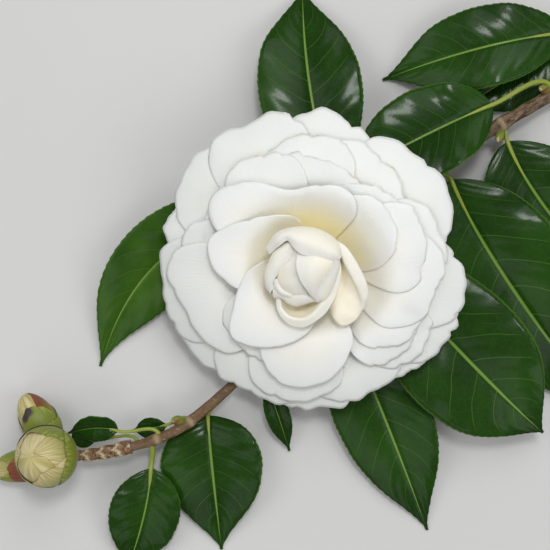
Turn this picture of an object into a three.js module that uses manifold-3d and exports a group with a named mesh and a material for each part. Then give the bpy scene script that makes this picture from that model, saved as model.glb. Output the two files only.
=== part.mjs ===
// A cut camellia branch lying on a flat surface: one woody twig with alternate glossy leaves, a short
// shoot with flower buds at its far end, and one large double bloom that faces up from the middle.
// Millimetres, +Z up, the surface at z = 0, the origin under the middle of the branch's box.
// Run with the npm packages three (0.186) and manifold-3d.

import * as THREE from 'three';
import { mergeVertices } from 'three/addons/utils/BufferGeometryUtils.js';
import Module from 'manifold-3d';

const wasm = await Module();
wasm.setup();

// ---------------------------------------------------------------- driving dimensions
const GAP = 0.5;                  // air left between pieces that touch in life
const WELD = 2e-3;                // corners closer than this are one
const BOX_MIDDLE = [17.6, -1.8];  // middle of the whole branch in the drawing's x and y

// The twig: its centre line from the cut end to the foot of the budding shoot.
const TWIG_LINE = [
  [123.8, 81.5, 2.28], [108.6, 72.0, 4.5], [94.1, 61.6, 8.0], [77.5, 51.7, 10.5], [62.9, 42.5, 11.0],
  [42.6, 28.0, 9.5], [16.1, 7.2, 8.0], [3.4, -15.4, 6.6], [-8.5, -31.6, 6.2], [-23.6, -45.6, 9.5],
  [-32.6, -52.4, 11.4], [-42.6, -56.8, 11.8], [-50.0, -58.8, 11.8],
];
const TWIG_RADIUS = { cut: 2.3, end: 1.6 };
const TWIG_NODES = [0.15, 0.245, 0.36, 0.5, 0.585, 0.9, 0.955];  // leaf scars, as parts of the length
const TWIG_NODE_SWELL = 0.22;
const TWIG_STEPS = 44;
const ROUND_SIDES = 8;

// The budding shoot: ringed by old bud scars, thick at its foot.
const SHOOT_LINE = [
  [-50.0, -58.8, 11.8], [-55.0, -60.0, 11.2], [-60.0, -61.0, 10.6], [-67.0, -61.8, 9.8], [-74.5, -61.8, 9.2],
];
const SHOOT_RADIUS = { foot: 2.5, tip: 1.5 };
const SHOOT_RINGS = 5;
const SHOOT_RING_SWELL = 0.28;
const SHOOT_STEPS = 20;

// The bloom: where it sits on the twig and how it leans.
const BLOOM_FOOT = [14.0, 6.0, 19.0];
const BLOOM_LEAN = 17;            // degrees from upright
const BLOOM_LEAN_HEADING = 232;   // degrees, the way it leans
const PETAL_THICK = 1.1;
const PETAL_FOOT_RADIUS = 4;
const BLOOM_UNDERSIDE = -2;       // of its base, along its own axis
const BLOOM_AT = 0.575;           // where it stands on the twig, as a part of the length
const CALYX_FOOT_RADIUS = 1.8;
const CALYX_SEPALS = 5;
const SEPAL_THICK = 0.9;

// Whorls of the bloom from the outermost in: the heading of each petal, and half its spread, in
// degrees; its reach from the bloom's axis; the height of its rim and of its foot; how its rise steepens.
const WHORLS = [
  { headings: [38, 98, 152, 208, 262, 328], spread: 31, reach: 50, height: 6.5, foot: 0, rise: 0.8 },
  { headings: [8, 68, 122, 184, 234, 292], spread: 31, reach: 49.5, height: 10, foot: 1.2, rise: 0.9 },
  { headings: [18, 57, 97, 136, 178, 220, 266, 308, 346],
    spread: 25, reach: 43.5, height: 13.8, foot: 2.6, rise: 1 },
  { headings: [15, 48, 86, 128, 162, 204, 244, 290, 326],
    spread: 24, reach: 38.5, height: 17.6, foot: 4, rise: 1.15 },
];

// The large cupped petals round the heart, and the heart's own small ones, each set by itself.
// lip is the length of the rolled rim and turn its bend in degrees, outward where it is positive.
const INNER_PETALS = [
  { heading: 132, spread: 37, reach: 36.5, height: 19.8, foot: 5, rise: 1.3, lip: 3, turn: -70 },
  { heading: 268, spread: 32, reach: 38, height: 19.4, foot: 5, rise: 1.3, lip: 2, turn: 20 },
  { heading: 322, spread: 30, reach: 35, height: 20.2, foot: 5, rise: 1.3, lip: 2, turn: 20 },
  { heading: 25, spread: 27, reach: 31.5, height: 22, foot: 6, rise: 1.4, lip: 2, turn: 25 },
  { heading: 74, spread: 29, reach: 28.5, height: 22.4, foot: 6, rise: 1.4, lip: 2, turn: 15 },
  { heading: 168, spread: 35, reach: 32.5, height: 22.2, foot: 6, rise: 1.4, lip: 2.5, turn: 30 },
  { heading: 226, spread: 43, reach: 32, height: 23.4, foot: 7, rise: 1.5, lip: 2.5, turn: 35, point: 1 },
  { heading: 338, spread: 46, reach: 19.5, height: 26.2, foot: 8, rise: 1.9, lip: 3.5, turn: 95 },
  { heading: 284, spread: 66, reach: 15.5, height: 27.6, foot: 9, rise: 2.2, lip: 3, turn: 85 },
  { heading: 92, spread: 64, reach: 13.6, height: 28.2, foot: 9, rise: 2.2, lip: 7.5, turn: -130 },
  { heading: 192, spread: 48, reach: 12, height: 28.6, foot: 10, rise: 2.6, lip: 1.5, turn: -20 },
  { heading: 250, spread: 48, reach: 10.4, height: 29.6, foot: 10, rise: 2.8, lip: 1.5, turn: -30 },
];
const HEART_PETALS = 3;           // wrapped about the tip of the heart
const HEART_TOP = 33;

// Leaves: at is where the stalk leaves the twig, as a part of its length; base, middle and tip are on
// the midrib; roll lifts the right side, seen from the foot; fold is the rise of both halves.
const LEAVES = [
  { name: 'leaf_upper_glossy', at: 0.15, width: 33, roll: -12, fold: 20,
    base: [73.4, 57.6, 15], middle: [50.4, 47.0, 17], tip: [20.3, 31.0, 16] },
  { name: 'leaf_outer_right', at: 0.245, width: 43, roll: -8, fold: 14,
    base: [79.6, 45.6, 9.5], middle: [97.5, 17.2, 8], tip: [132.4, -17.4, 0.6] },
  { name: 'leaf_long_right', at: 0.36, width: 47, roll: -7, fold: 12,
    base: [60.2, 32.4, 11], middle: [79.9, -2.4, 9.5], tip: [116.4, -50.0, 0.6] },
  { name: 'leaf_lower_right', at: 0.5, width: 46, roll: -5, fold: 14,
    base: [28.6, 11.6, 9], middle: [65.0, -28.4, 16], tip: [91.2, -53.6, 12.5] },
  { name: 'leaf_lower', at: 0.6, width: 34, roll: -8, fold: 12,
    base: [22.0, -12.5, 8.5], middle: [37.2, -48.0, 8.5], tip: [53.0, -88.7, 0.6] },
  { name: 'leaf_top', at: 0.52, width: 37, roll: 0, fold: 16,
    base: [19.0, 31.5, 11], middle: [11.8, 65.1, 11], tip: [9.6, 99.5, 0.6] },
  { name: 'leaf_left', at: 0.56, width: 30, roll: 13, fold: 12,
    base: [-1.5, 20.5, 9], middle: [-38.8, 5.6, 8], tip: [-60.8, -31.7, 0.6] },
  { name: 'leaf_corner', at: 0.06, width: 25, roll: 0, fold: 12,
    base: [104.0, 82.0, 3.4], middle: [84.0, 70.0, 2.8], tip: [65.0, 58.0, 1.6] },
  { name: 'leaf_far_top', at: 0.1, width: 29, roll: -6, fold: 12,
    base: [99.5, 83.0, 9.5], middle: [70.0, 77.4, 11.5], tip: [37.6, 68.0, 0.6] },
  { name: 'leaf_narrow', at: 0.75, width: 9, roll: 0, fold: 18,
    base: [-2.4, -38.5, 7.8], middle: [1.0, -48.1, 7.2], tip: [5.0, -61.0, 1.6] },
  { name: 'leaf_beside_bud', at: 0.985, width: 7, roll: 0, fold: 18,
    base: [-62.0, -56.8, 8.5], middle: [-66.6, -56.0, 5.5], tip: [-69.8, -52.6, 1] },
  { name: 'leaf_shoot_upper', at: 0.95, width: 11, roll: 30, fold: 14,
    base: [-53.5, -53.0, 13.2], middle: [-61.2, -52.0, 13.2], tip: [-70.6, -54.0, 10.6] },
  { name: 'leaf_shoot_small', at: 0.9, width: 8, roll: 10, fold: 16,
    base: [-37.4, -51.4, 9.5], middle: [-42.8, -52.5, 8], tip: [-48.8, -53.4, 6.5] },
  { name: 'leaf_shoot_lower', at: 0.966, width: 25, roll: 8, fold: 12,
    base: [-42.6, -66.4, 8.6], middle: [-45.0, -82.4, 8], tip: [-51.6, -103.0, 0.6] },
  { name: 'leaf_shoot_broad', at: 0.84, width: 36, roll: -6, fold: 12,
    base: [-23.2, -48.6, 5.2], middle: [-21.6, -66.0, 7.2], tip: [-18.6, -95.5, 0.6] },
];
const LEAF_THICK = 0.95;
const LEAF_STALK_RADIUS = 1.0;
const LEAF_STALK_STEPS = 4;
const LEAF_BLADE_STEPS = 9;
const LEAF_MARGIN_DROP = 0.16;    // how far the margins bend back down, as a part of the half width

// Flower buds: foot and tip of each, its widest radius, the part of its length that is neck, and how
// many scales wrap it.
const BUDS = [
  { name: 'bud_upper', foot: [-75.0, -59.4, 7.4], tip: [-86.9, -41.2, 6.9],
    radius: 6.6, neck: 0.1, scales: 6 },
  { name: 'bud_front', foot: [-72.5, -61.8, 11.8], tip: [-80.1, -59.4, 33.9],
    radius: 10.5, neck: 0.1, scales: 7 },
  { name: 'bud_left', foot: [-75.0, -63.0, 8.4], tip: [-97.5, -67.6, 6.4],
    radius: 5.7, neck: 0.1, scales: 6 },
];
const BUD_NECK_RADIUS = 1.3;
const BUD_SCALE_THICK = 0.16;
const BUD_SCALE_SPREAD = 1.15;    // half the angle that a scale wraps, in radians
const BUD_SIDES = 20;
const BUD_STEPS = 13;
const GOLDEN_ANGLE = 137.5;

// ---------------------------------------------------------------- finishes
const finish = (color, roughness) => new THREE.MeshStandardMaterial({ color, roughness, metalness: 0 });
const FINISHES = {
  bark: () => finish(0x8a6a50, 0.85),
  petal: () => finish(0xf1efe8, 0.6),
  leaf: () => finish(0x2f5a1e, 0.32),
  bud: () => finish(0x8f9c3e, 0.55),
};

// ---------------------------------------------------------------- small helpers
const radians = THREE.MathUtils.degToRad;
const vec = (p) => new THREE.Vector3(...p);
const UP = new THREE.Vector3(0, 0, 1);

/** A geometry from rings of points, closed by a fan at each end. Seen along the path, rings run clockwise. */
function loft(rings) {
  const n = rings[0].length;
  const points = rings.flat();
  const faces = [];
  for (let i = 0; i < rings.length - 1; i += 1) {
    for (let j = 0; j < n; j += 1) {
      const a = i * n + j;
      const b = i * n + (j + 1) % n;
      faces.push(a, b, b + n, a, b + n, a + n);
    }
  }
  const last = points.length - n;
  for (let j = 1; j < n - 1; j += 1) {
    faces.push(0, j + 1, j, last, last + j, last + j + 1);
  }
  return meshData(points, faces);
}

/** An indexed geometry from points and triangle corners. */
function meshData(points, faces) {
  const geometry = new THREE.BufferGeometry();
  const numbers = points.flatMap((p) => p.toArray());
  geometry.setAttribute('position', new THREE.Float32BufferAttribute(numbers, 3));
  geometry.setIndex(faces);
  return geometry;
}

/** The geometry as a manifold solid, its corners welded where they lie closer than WELD. */
function toSolid(geometry) {
  const bare = geometry.clone();
  for (const name of ['normal', 'uv']) bare.deleteAttribute(name);
  const merged = mergeVertices(bare, WELD);
  return new wasm.Manifold(new wasm.Mesh({
    numProp: 3,
    vertProperties: new Float32Array(merged.attributes.position.array),
    triVerts: new Uint32Array(merged.index.array),
  }));
}

/** A solid's outermost body as a geometry; hollows sealed inside it are left out. */
function toGeometry(solid) {
  const body = solid.decompose().reduce((a, b) => (b.volume() > a.volume() ? b : a));
  const mesh = body.getMesh();
  const geometry = new THREE.BufferGeometry();
  geometry.setAttribute('position', new THREE.BufferAttribute(new Float32Array(mesh.vertProperties), 3));
  geometry.setIndex(new THREE.BufferAttribute(new Uint32Array(mesh.triVerts), 1));
  return geometry;
}

/** The union of several geometries as one geometry, welded once more so that it stays one body. */
function fuse(geometries) {
  const whole = geometries.map(toSolid).reduce((a, b) => a.add(b));
  return toGeometry(toSolid(toGeometry(whole)));
}

/** Two unit vectors across a direction, the first one level. */
function across(direction) {
  const side = new THREE.Vector3().crossVectors(direction, UP).normalize();
  return [side, new THREE.Vector3().crossVectors(side, direction).normalize()];
}

/** A round limb along a curve, its radius given along it from 0 to 1. */
function limb(curve, radiusAt, steps, sides = ROUND_SIDES) {
  const rings = [];
  for (let i = 0; i <= steps; i += 1) {
    const t = i / steps;
    const centre = curve.getPointAt(t);
    const [side, over] = across(curve.getTangentAt(t));
    rings.push(Array.from({ length: sides }, (_, j) => {
      const angle = -2 * Math.PI * j / sides;
      return centre.clone()
        .addScaledVector(side, radiusAt(t) * Math.cos(angle))
        .addScaledVector(over, radiusAt(t) * Math.sin(angle));
    }));
  }
  return loft(rings);
}

/** A named mesh. */
function piece(name, geometry, material) {
  const mesh = new THREE.Mesh(geometry, material);
  mesh.name = name;
  return mesh;
}

// ---------------------------------------------------------------- twig and budding shoot
const twigCurve = new THREE.CatmullRomCurve3(TWIG_LINE.map(vec), false, 'centripetal');

function twigRadius(t) {
  const plain = THREE.MathUtils.lerp(TWIG_RADIUS.cut, TWIG_RADIUS.end, t);
  const swell = Math.max(...TWIG_NODES.map((node) => Math.exp(-(((t - node) / 0.012) ** 2))));
  return plain * (1 + TWIG_NODE_SWELL * swell);
}

function makeTwig() {
  return piece('main_twig', limb(twigCurve, twigRadius, TWIG_STEPS), FINISHES.bark());
}

function makeShoot() {
  const line = SHOOT_LINE.map(vec);
  const direction = line[1].clone().sub(line[0]).normalize();
  line[0].addScaledVector(direction, GAP);
  const curve = new THREE.CatmullRomCurve3(line, false, 'centripetal');
  const radiusAt = (t) => THREE.MathUtils.lerp(SHOOT_RADIUS.foot, SHOOT_RADIUS.tip, t)
    + SHOOT_RING_SWELL * Math.cos(2 * Math.PI * SHOOT_RINGS * t);
  return piece('budding_shoot', limb(curve, radiusAt, SHOOT_STEPS), FINISHES.bark());
}

// ---------------------------------------------------------------- leaves
/** Half width of a blade from base (0) to tip (1), as a part of its greatest half width. */
function bladeOutline(t) {
  const body = Math.sin(Math.PI * Math.min(t / 0.96, 1) ** 0.93);
  return Math.max(body, 0) ** 0.66 + 0.05 * Math.min(1, (1 - t) / 0.1) * t;
}

/** One section of a leaf: six points round its top and underside. */
function leafRing(centre, tangent, half, thickMiddle, thickEdge, leaf) {
  const [level, over] = across(tangent);
  const roll = radians(leaf.roll);
  const side = level.clone().multiplyScalar(Math.cos(roll)).addScaledVector(over, Math.sin(roll));
  const normal = new THREE.Vector3().crossVectors(side, tangent);
  const fold = radians(leaf.fold);
  const rise = half * (Math.sin(fold) - LEAF_MARGIN_DROP);
  const at = (x, z) => centre.clone().addScaledVector(side, x).addScaledVector(normal, z);
  const edge = half * Math.cos(fold);
  return [
    at(-edge, rise + thickEdge), at(0, thickMiddle), at(edge, rise + thickEdge),
    at(edge, rise - thickEdge), at(0, -thickMiddle), at(-edge, rise - thickEdge),
  ];
}

/** The sections of a leaf from the foot of its stalk to its tip. */
function leafRings(leaf) {
  const [base, middle, tip] = [leaf.base, leaf.middle, leaf.tip].map(vec);
  const bend = middle.clone().multiplyScalar(2).addScaledVector(base, -0.5).addScaledVector(tip, -0.5);
  const blade = new THREE.QuadraticBezierCurve3(base, bend, tip);
  const axis = twigCurve.getPointAt(leaf.at);
  const along = twigCurve.getTangentAt(leaf.at);
  const away = base.clone().sub(axis);
  away.addScaledVector(along, -away.dot(along)).normalize();
  const foot = axis.clone().addScaledVector(away, twigRadius(leaf.at) + GAP);
  const reach = foot.distanceTo(base);
  const stalk = new THREE.CubicBezierCurve3(
    foot,
    foot.clone().addScaledVector(away, reach * 0.35),
    base.clone().addScaledVector(blade.getTangent(0), -reach * 0.35),
    base,
  );
  const rings = [];
  const round = LEAF_STALK_RADIUS;
  for (let i = 0; i < LEAF_STALK_STEPS; i += 1) {
    const t = i / LEAF_STALK_STEPS;
    const shape = { roll: 0, fold: 9 };
    rings.push(leafRing(stalk.getPoint(t), stalk.getTangent(t), round * 0.9, round, round * 0.5, shape));
  }
  for (let i = 0; i <= LEAF_BLADE_STEPS; i += 1) {
    const t = i / LEAF_BLADE_STEPS;
    const half = Math.max(leaf.width / 2 * bladeOutline(t), 0.45);
    const middleThick = LEAF_THICK * THREE.MathUtils.lerp(0.95, 0.5, t);
    const shape = { roll: leaf.roll * Math.min(1, 3 * t), fold: leaf.fold };
    rings.push(leafRing(blade.getPoint(t), blade.getTangent(t), half, middleThick, LEAF_THICK / 2, shape));
  }
  return rings;
}

/** Bends a leaf towards its tip, more and more, until its lowest point rests at z = 0 or above it. */
function settle(rings, rests) {
  const bendAt = (i) => (i / (rings.length - 1)) ** 2;
  for (let pass = 0; pass < 12; pass += 1) {
    let [lowest, weight] = [Infinity, 1];
    rings.forEach((ring, i) => ring.forEach((p) => {
      if (p.z < lowest) [lowest, weight] = [p.z, bendAt(i)];
    }));
    if (lowest >= 0 && !rests) return rings;
    if (Math.abs(lowest) < 1e-3 || weight === 0) return rings;
    rings.forEach((ring, i) => ring.forEach((p) => p.setZ(p.z - lowest * bendAt(i) / weight)));
  }
  return rings;
}

function makeLeaf(leaf) {
  const rests = leaf.tip[2] < 1;
  return piece(leaf.name, loft(settle(leafRings(leaf), rests)), FINISHES.leaf());
}

// ---------------------------------------------------------------- petals, shared by bloom, calyx and buds
/** A petal's midline: from its foot up to its rim, then along the rolled lip, as radius and height. */
function petalProfile(petal, t) {
  const lipPart = petal.lip / (petal.reach + petal.lip);
  const bodyPart = Math.min(t / (1 - lipPart), 1);
  const radius = THREE.MathUtils.lerp(petal.footRadius, petal.reach, bodyPart);
  const lift = petal.height - petal.foot;
  const height = petal.foot + lift * (radius / petal.reach) ** petal.rise;
  const slope = Math.atan2(lift * petal.rise, petal.reach);
  const along = Math.max(t - (1 - lipPart), 0) * (petal.reach + petal.lip);
  const bend = radians(petal.turn) * along / Math.max(petal.lip, 1e-6);
  const middle = slope - bend / 2;
  return [radius + along * Math.cos(middle), height + along * Math.sin(middle), slope - bend];
}

/** A petal as a closed shell: a patch wrapped about the axis, rounded or pointed at its end. */
function petalShell(petal, stepsAcross, stepsAlong, start, thick) {
  const p = { footRadius: PETAL_FOOT_RADIUS, lip: 0, turn: 0, point: 0, twist: 1.2, ...petal };
  const [top, under] = [[], []];
  for (let i = 0; i <= stepsAlong; i += 1) {
    for (let j = 0; j <= stepsAcross; j += 1) {
      const s = 2 * j / stepsAcross - 1;
      const end = 1 - 0.3 * Math.abs(s) ** (p.point ? 1.4 : 2.8);
      const t = start + (end - start) * i / stepsAlong;
      const [radius, height, slope] = petalProfile(p, t);
      const angle = radians(p.heading + s * p.spread);
      const rise = height + p.twist * s * t;
      const place = (offset) => {
        const r = radius - offset * Math.sin(slope);
        return new THREE.Vector3(r * Math.cos(angle), r * Math.sin(angle), rise + offset * Math.cos(slope));
      };
      top.push(place(0));
      under.push(place(-thick));
    }
  }
  return shell(top, under, stepsAcross, stepsAlong);
}

/** Closes a grid of top points and a grid of under points into one body. */
function shell(top, under, columns, rows) {
  const points = [...top, ...under];
  const width = columns + 1;
  const below = top.length;
  const faces = [];
  const quad = (a, b, c, d) => faces.push(a, b, c, a, c, d);
  for (let i = 0; i < rows; i += 1) {
    for (let j = 0; j < columns; j += 1) {
      const a = i * width + j;
      quad(a, a + width, a + width + 1, a + 1);
      quad(below + a, below + a + 1, below + a + width + 1, below + a + width);
    }
    const [left, right] = [i * width, i * width + columns];
    quad(left, below + left, below + left + width, left + width);
    quad(right, right + width, below + right + width, below + right);
  }
  for (let j = 0; j < columns; j += 1) {
    const far = rows * width + j;
    quad(j, j + 1, below + j + 1, below + j);
    quad(far, below + far, below + far + 1, far + 1);
  }
  return meshData(points, faces);
}

/** Stands a mesh with its own +Z along a direction. */
function stand(mesh, foot, direction) {
  mesh.position.copy(foot);
  mesh.quaternion.setFromUnitVectors(UP, direction.clone().normalize());
  return mesh;
}

// ---------------------------------------------------------------- bloom and calyx
const lean = radians(BLOOM_LEAN);
const leanHeading = radians(BLOOM_LEAN_HEADING);
const bloomAxis = new THREE.Vector3(
  Math.sin(lean) * Math.cos(leanHeading), Math.sin(lean) * Math.sin(leanHeading), Math.cos(lean),
);

/** The closed heart of the bloom and the solid base that every petal springs from. */
function bloomCore() {
  const outline = [
    [0, BLOOM_UNDERSIDE], [8, BLOOM_UNDERSIDE], [20, -1.2], [30, 0], [38, 2], [41, 4.2],
    [38, 7.2], [35, 9.6], [30, 12.4], [25, 13.6], [20, 12],
    [14, 12.5], [10.5, 17], [9.6, 23], [6.6, 28], [3, HEART_TOP - 1.6], [0, HEART_TOP - 0.8],
  ].map(([r, z]) => new THREE.Vector2(r, z));
  return new THREE.LatheGeometry(outline, 20).rotateX(Math.PI / 2);
}

/** The petals wrapped about the tip of the heart. */
function heartPetals() {
  return Array.from({ length: HEART_PETALS }, (_, i) => ({
    heading: 20 + i * 360 / HEART_PETALS, spread: 58, reach: 9.6, height: 22, foot: 12, rise: 2, lip: 13,
    turn: -48 - 4 * i, twist: 1.6,
  }));
}

function makeBloom() {
  const rings = WHORLS.flatMap(({ headings, ...shape }) => (
    headings.map((heading) => ({ heading, ...shape }))
  ));
  const open = rings.map((petal) => petalShell({ lip: 2, turn: 30, ...petal }, 5, 2, 0.55, PETAL_THICK));
  const inner = INNER_PETALS.map((petal) => petalShell(petal, 6, 5, 0.35, PETAL_THICK));
  const heart = heartPetals().map((petal) => petalShell(petal, 5, 6, 0.3, PETAL_THICK));
  const mesh = piece('bloom', fuse([bloomCore(), ...open, ...inner, ...heart]), FINISHES.petal());
  return stand(mesh, vec(BLOOM_FOOT), bloomAxis);
}

/** A short stalk that widens into a cup, with sepals, square to the bloom's base. */
function makeCalyx() {
  const top = vec(BLOOM_FOOT).addScaledVector(bloomAxis, BLOOM_UNDERSIDE - GAP);
  const twigTop = twigCurve.getPointAt(BLOOM_AT).z + twigRadius(BLOOM_AT);
  const clear = twigTop + GAP + CALYX_FOOT_RADIUS * Math.sin(lean);
  const height = (top.z - clear) / bloomAxis.z;
  const cup = new THREE.LatheGeometry(
    [[0, 0], [CALYX_FOOT_RADIUS, 0], [2.2, height * 0.3], [6.6, height - 0.6], [7, height], [0, height]]
      .map(([r, z]) => new THREE.Vector2(r, z)),
    12,
  ).rotateX(Math.PI / 2);
  const sepal = {
    spread: 30, reach: 8.6, height: height - 0.5, foot: height * 0.2, rise: 1, footRadius: 1.5, twist: 0.3,
  };
  const sepals = Array.from({ length: CALYX_SEPALS }, (_, i) => (
    petalShell({ ...sepal, heading: i * 360 / CALYX_SEPALS }, 3, 2, 0.2, SEPAL_THICK)
  ));
  const foot = top.addScaledVector(bloomAxis, -height);
  return stand(piece('calyx', fuse([cup, ...sepals]), FINISHES.bud()), foot, bloomAxis);
}

// ---------------------------------------------------------------- buds
/** Radius of a bud at a part of its length: a thin neck, then an egg. */
function budOutline(bud, t) {
  const u = (t - bud.neck) / (1 - bud.neck);
  const egg = Math.sqrt(Math.max(1 - ((u - 0.46) / 0.54) ** 2, 0)) * (1 - 0.12 * Math.max(u - 0.46, 0));
  return Math.max(u > 0 ? egg : 0, t < bud.neck * 1.5 ? BUD_NECK_RADIUS / bud.radius : 0);
}

/** How far the outermost scale at a place on a bud stands out of the egg. */
function scaleRelief(bud, angle, t) {
  let relief = 0;
  for (let i = 0; i < bud.scales; i += 1) {
    const heading = radians(i * GOLDEN_ANGLE + 30);
    const apart = Math.atan2(Math.sin(angle - heading), Math.cos(angle - heading));
    const aside = Math.abs(apart) / BUD_SCALE_SPREAD;
    const reach = (0.97 - 0.11 * i) * (1 - 0.35 * aside ** 2);
    if (aside < 1 && t < reach) relief = (i + 1) * BUD_SCALE_THICK;
  }
  return relief;
}

/** A bud: an egg of rings whose radius steps out over each overlapping scale. */
function makeBud(bud) {
  const [foot, tip] = [vec(bud.foot), vec(bud.tip)];
  const length = foot.distanceTo(tip);
  const rings = [];
  for (let i = 0; i <= BUD_STEPS; i += 1) {
    const t = 0.5 - 0.5 * Math.cos(Math.PI * 0.97 * i / BUD_STEPS);
    rings.push(Array.from({ length: BUD_SIDES }, (_, j) => {
      const angle = 2 * Math.PI * j / BUD_SIDES;
      const r = (bud.radius * 0.92 + scaleRelief(bud, angle, t)) * budOutline(bud, t);
      return new THREE.Vector3(r * Math.cos(angle), r * Math.sin(angle), length * t);
    }));
  }
  return stand(piece(bud.name, loft(rings), FINISHES.bud()), foot, tip.clone().sub(foot));
}

// ---------------------------------------------------------------- the whole branch
const branch = new THREE.Group();
branch.add(makeTwig(), makeShoot(), makeCalyx(), makeBloom());
branch.add(...LEAVES.map(makeLeaf), ...BUDS.map(makeBud));
branch.position.set(-BOX_MIDDLE[0], -BOX_MIDDLE[1], 0);

const part = new THREE.Group();
part.add(branch);
export default part;
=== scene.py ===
"""A cut camellia branch with one large white double bloom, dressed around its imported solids.

Lengths are in millimetres in the drawing that the branch is laid out in, with z = 0 on the surface
that it lies on; ``place_in_frame`` turns them into metres about the frame's own origin. Each
sub-assembly is a class that builds its meshes and dresses them in its finishes.
"""

import logging
import math
from abc import ABC, abstractmethod
from dataclasses import dataclass
from enum import Enum
from typing import ClassVar

import bpy
import numpy as np
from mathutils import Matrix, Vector
from numpy.typing import NDArray

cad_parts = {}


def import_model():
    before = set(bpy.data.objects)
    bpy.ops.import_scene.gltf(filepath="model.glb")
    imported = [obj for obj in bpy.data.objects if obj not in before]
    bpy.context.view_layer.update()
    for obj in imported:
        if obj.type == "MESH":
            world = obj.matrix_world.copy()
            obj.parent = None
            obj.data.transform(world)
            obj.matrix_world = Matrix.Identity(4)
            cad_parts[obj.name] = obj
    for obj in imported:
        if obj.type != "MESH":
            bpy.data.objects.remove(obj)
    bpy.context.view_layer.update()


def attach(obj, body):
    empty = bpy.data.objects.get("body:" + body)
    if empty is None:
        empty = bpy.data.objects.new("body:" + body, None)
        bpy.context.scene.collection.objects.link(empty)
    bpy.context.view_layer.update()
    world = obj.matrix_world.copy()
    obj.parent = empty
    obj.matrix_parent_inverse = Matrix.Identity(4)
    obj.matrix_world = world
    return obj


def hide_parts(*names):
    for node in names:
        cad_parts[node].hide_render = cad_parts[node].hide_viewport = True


LOG = logging.getLogger("camellia_branch")
Array = NDArray[np.float64]
Colour = tuple[float, float, float]
Point = tuple[float, float, float]
Material = bpy.types.Material
Socket = bpy.types.NodeSocket
Value = float | Colour | Socket  # what a shader's socket can be fed with

MM = 0.001
BOX_MIDDLE = np.array([17.6, -1.8, 0.0])  # middle of the branch's box in the drawing
UP = np.array([0.0, 0.0, 1.0])
ANY_PHASE = 6.28  # a wave's start is drawn between 0 and this

LEAF_SIDE_VEINS = 9.0      # pairs of side veins that a leaf's length holds
LEAF_VEIN_SWEEP = 0.2      # how far a side vein runs towards the tip, as a part of the length
LEAF_VEIN_BEND = 1.25      # the power by which it bends there
LEAF_VEIN_STAGGER = 0.3    # how far the veins of each half stand off, as a part of their spacing
LEAF_NET = 420.0           # meshes a metre of the finest veins


# ---------------------------------------------------------------- lines and directions
def unit(vector: Array) -> Array:
    """The vector, or each row of vectors, at length one."""
    return vector / np.maximum(np.linalg.norm(vector, axis=-1, keepdims=True), 1e-9)


def across(direction: Array) -> tuple[Array, Array]:
    """Unit vectors across a direction: a level one to its right, and the one up from both."""
    side = unit(np.cross(direction, UP))
    return side, unit(np.cross(side, direction))


def turn_from_up(direction: Array) -> Array:
    """The shortest turn that takes straight up to a direction.

    Args:
        direction: a unit vector.

    Returns:
        A 3 x 3 matrix for column vectors.
    """
    x, y, _ = np.cross(UP, direction)
    skew = np.array([[0, 0, y], [0, 0, -x], [-y, x, 0]])
    return np.eye(3) + skew + skew @ skew / (1 + direction[2])


def smooth_step(low: float, high: float, value: Array) -> Array:
    """0 below low, 1 above high, and a smooth rise between them."""
    t = np.clip((value - low) / (high - low), 0, 1)
    return t * t * (3 - 2 * t)


def bell(distance: Array | float, width: float) -> Array:
    """1 at no distance, falling away smoothly to both sides over a width."""
    return np.exp(-((distance / width) ** 2))


def round_angles(sides: int) -> Array:
    """Evenly spaced angles once round, in radians."""
    return np.arange(sides) * 2 * math.pi / sides


def bezier(controls: list[Array], t: Array) -> Array:
    """Points of a Bezier curve.

    Args:
        controls: its three or four control points.
        t: places from 0 to 1.

    Returns:
        One row for each place.
    """
    degree = len(controls) - 1
    weights = [math.comb(degree, k) * (1 - t) ** (degree - k) * t**k for k in range(degree + 1)]
    return sum(w[:, None] * c for w, c in zip(weights, controls))


def spread_evenly(values: tuple[float, ...], places: Array) -> Array:
    """A smooth curve through evenly spaced values.

    Args:
        values: at places from -1 to 1.
        places: where it is read.

    Returns:
        The curve's value at each place.
    """
    padded = np.concatenate([[2 * values[0] - values[1]], values, [2 * values[-1] - values[-2]]])
    x = (np.clip(places, -1, 1) + 1) / 2 * (len(values) - 1)
    k = np.minimum(x.astype(int), len(values) - 2)
    w = x - k
    a, b, c, d = (padded[k + i] for i in range(4))
    return b + 0.5 * w * (c - a + w * (2 * a - 5 * b + 4 * c - d + w * (3 * (b - c) + d - a)))


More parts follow.
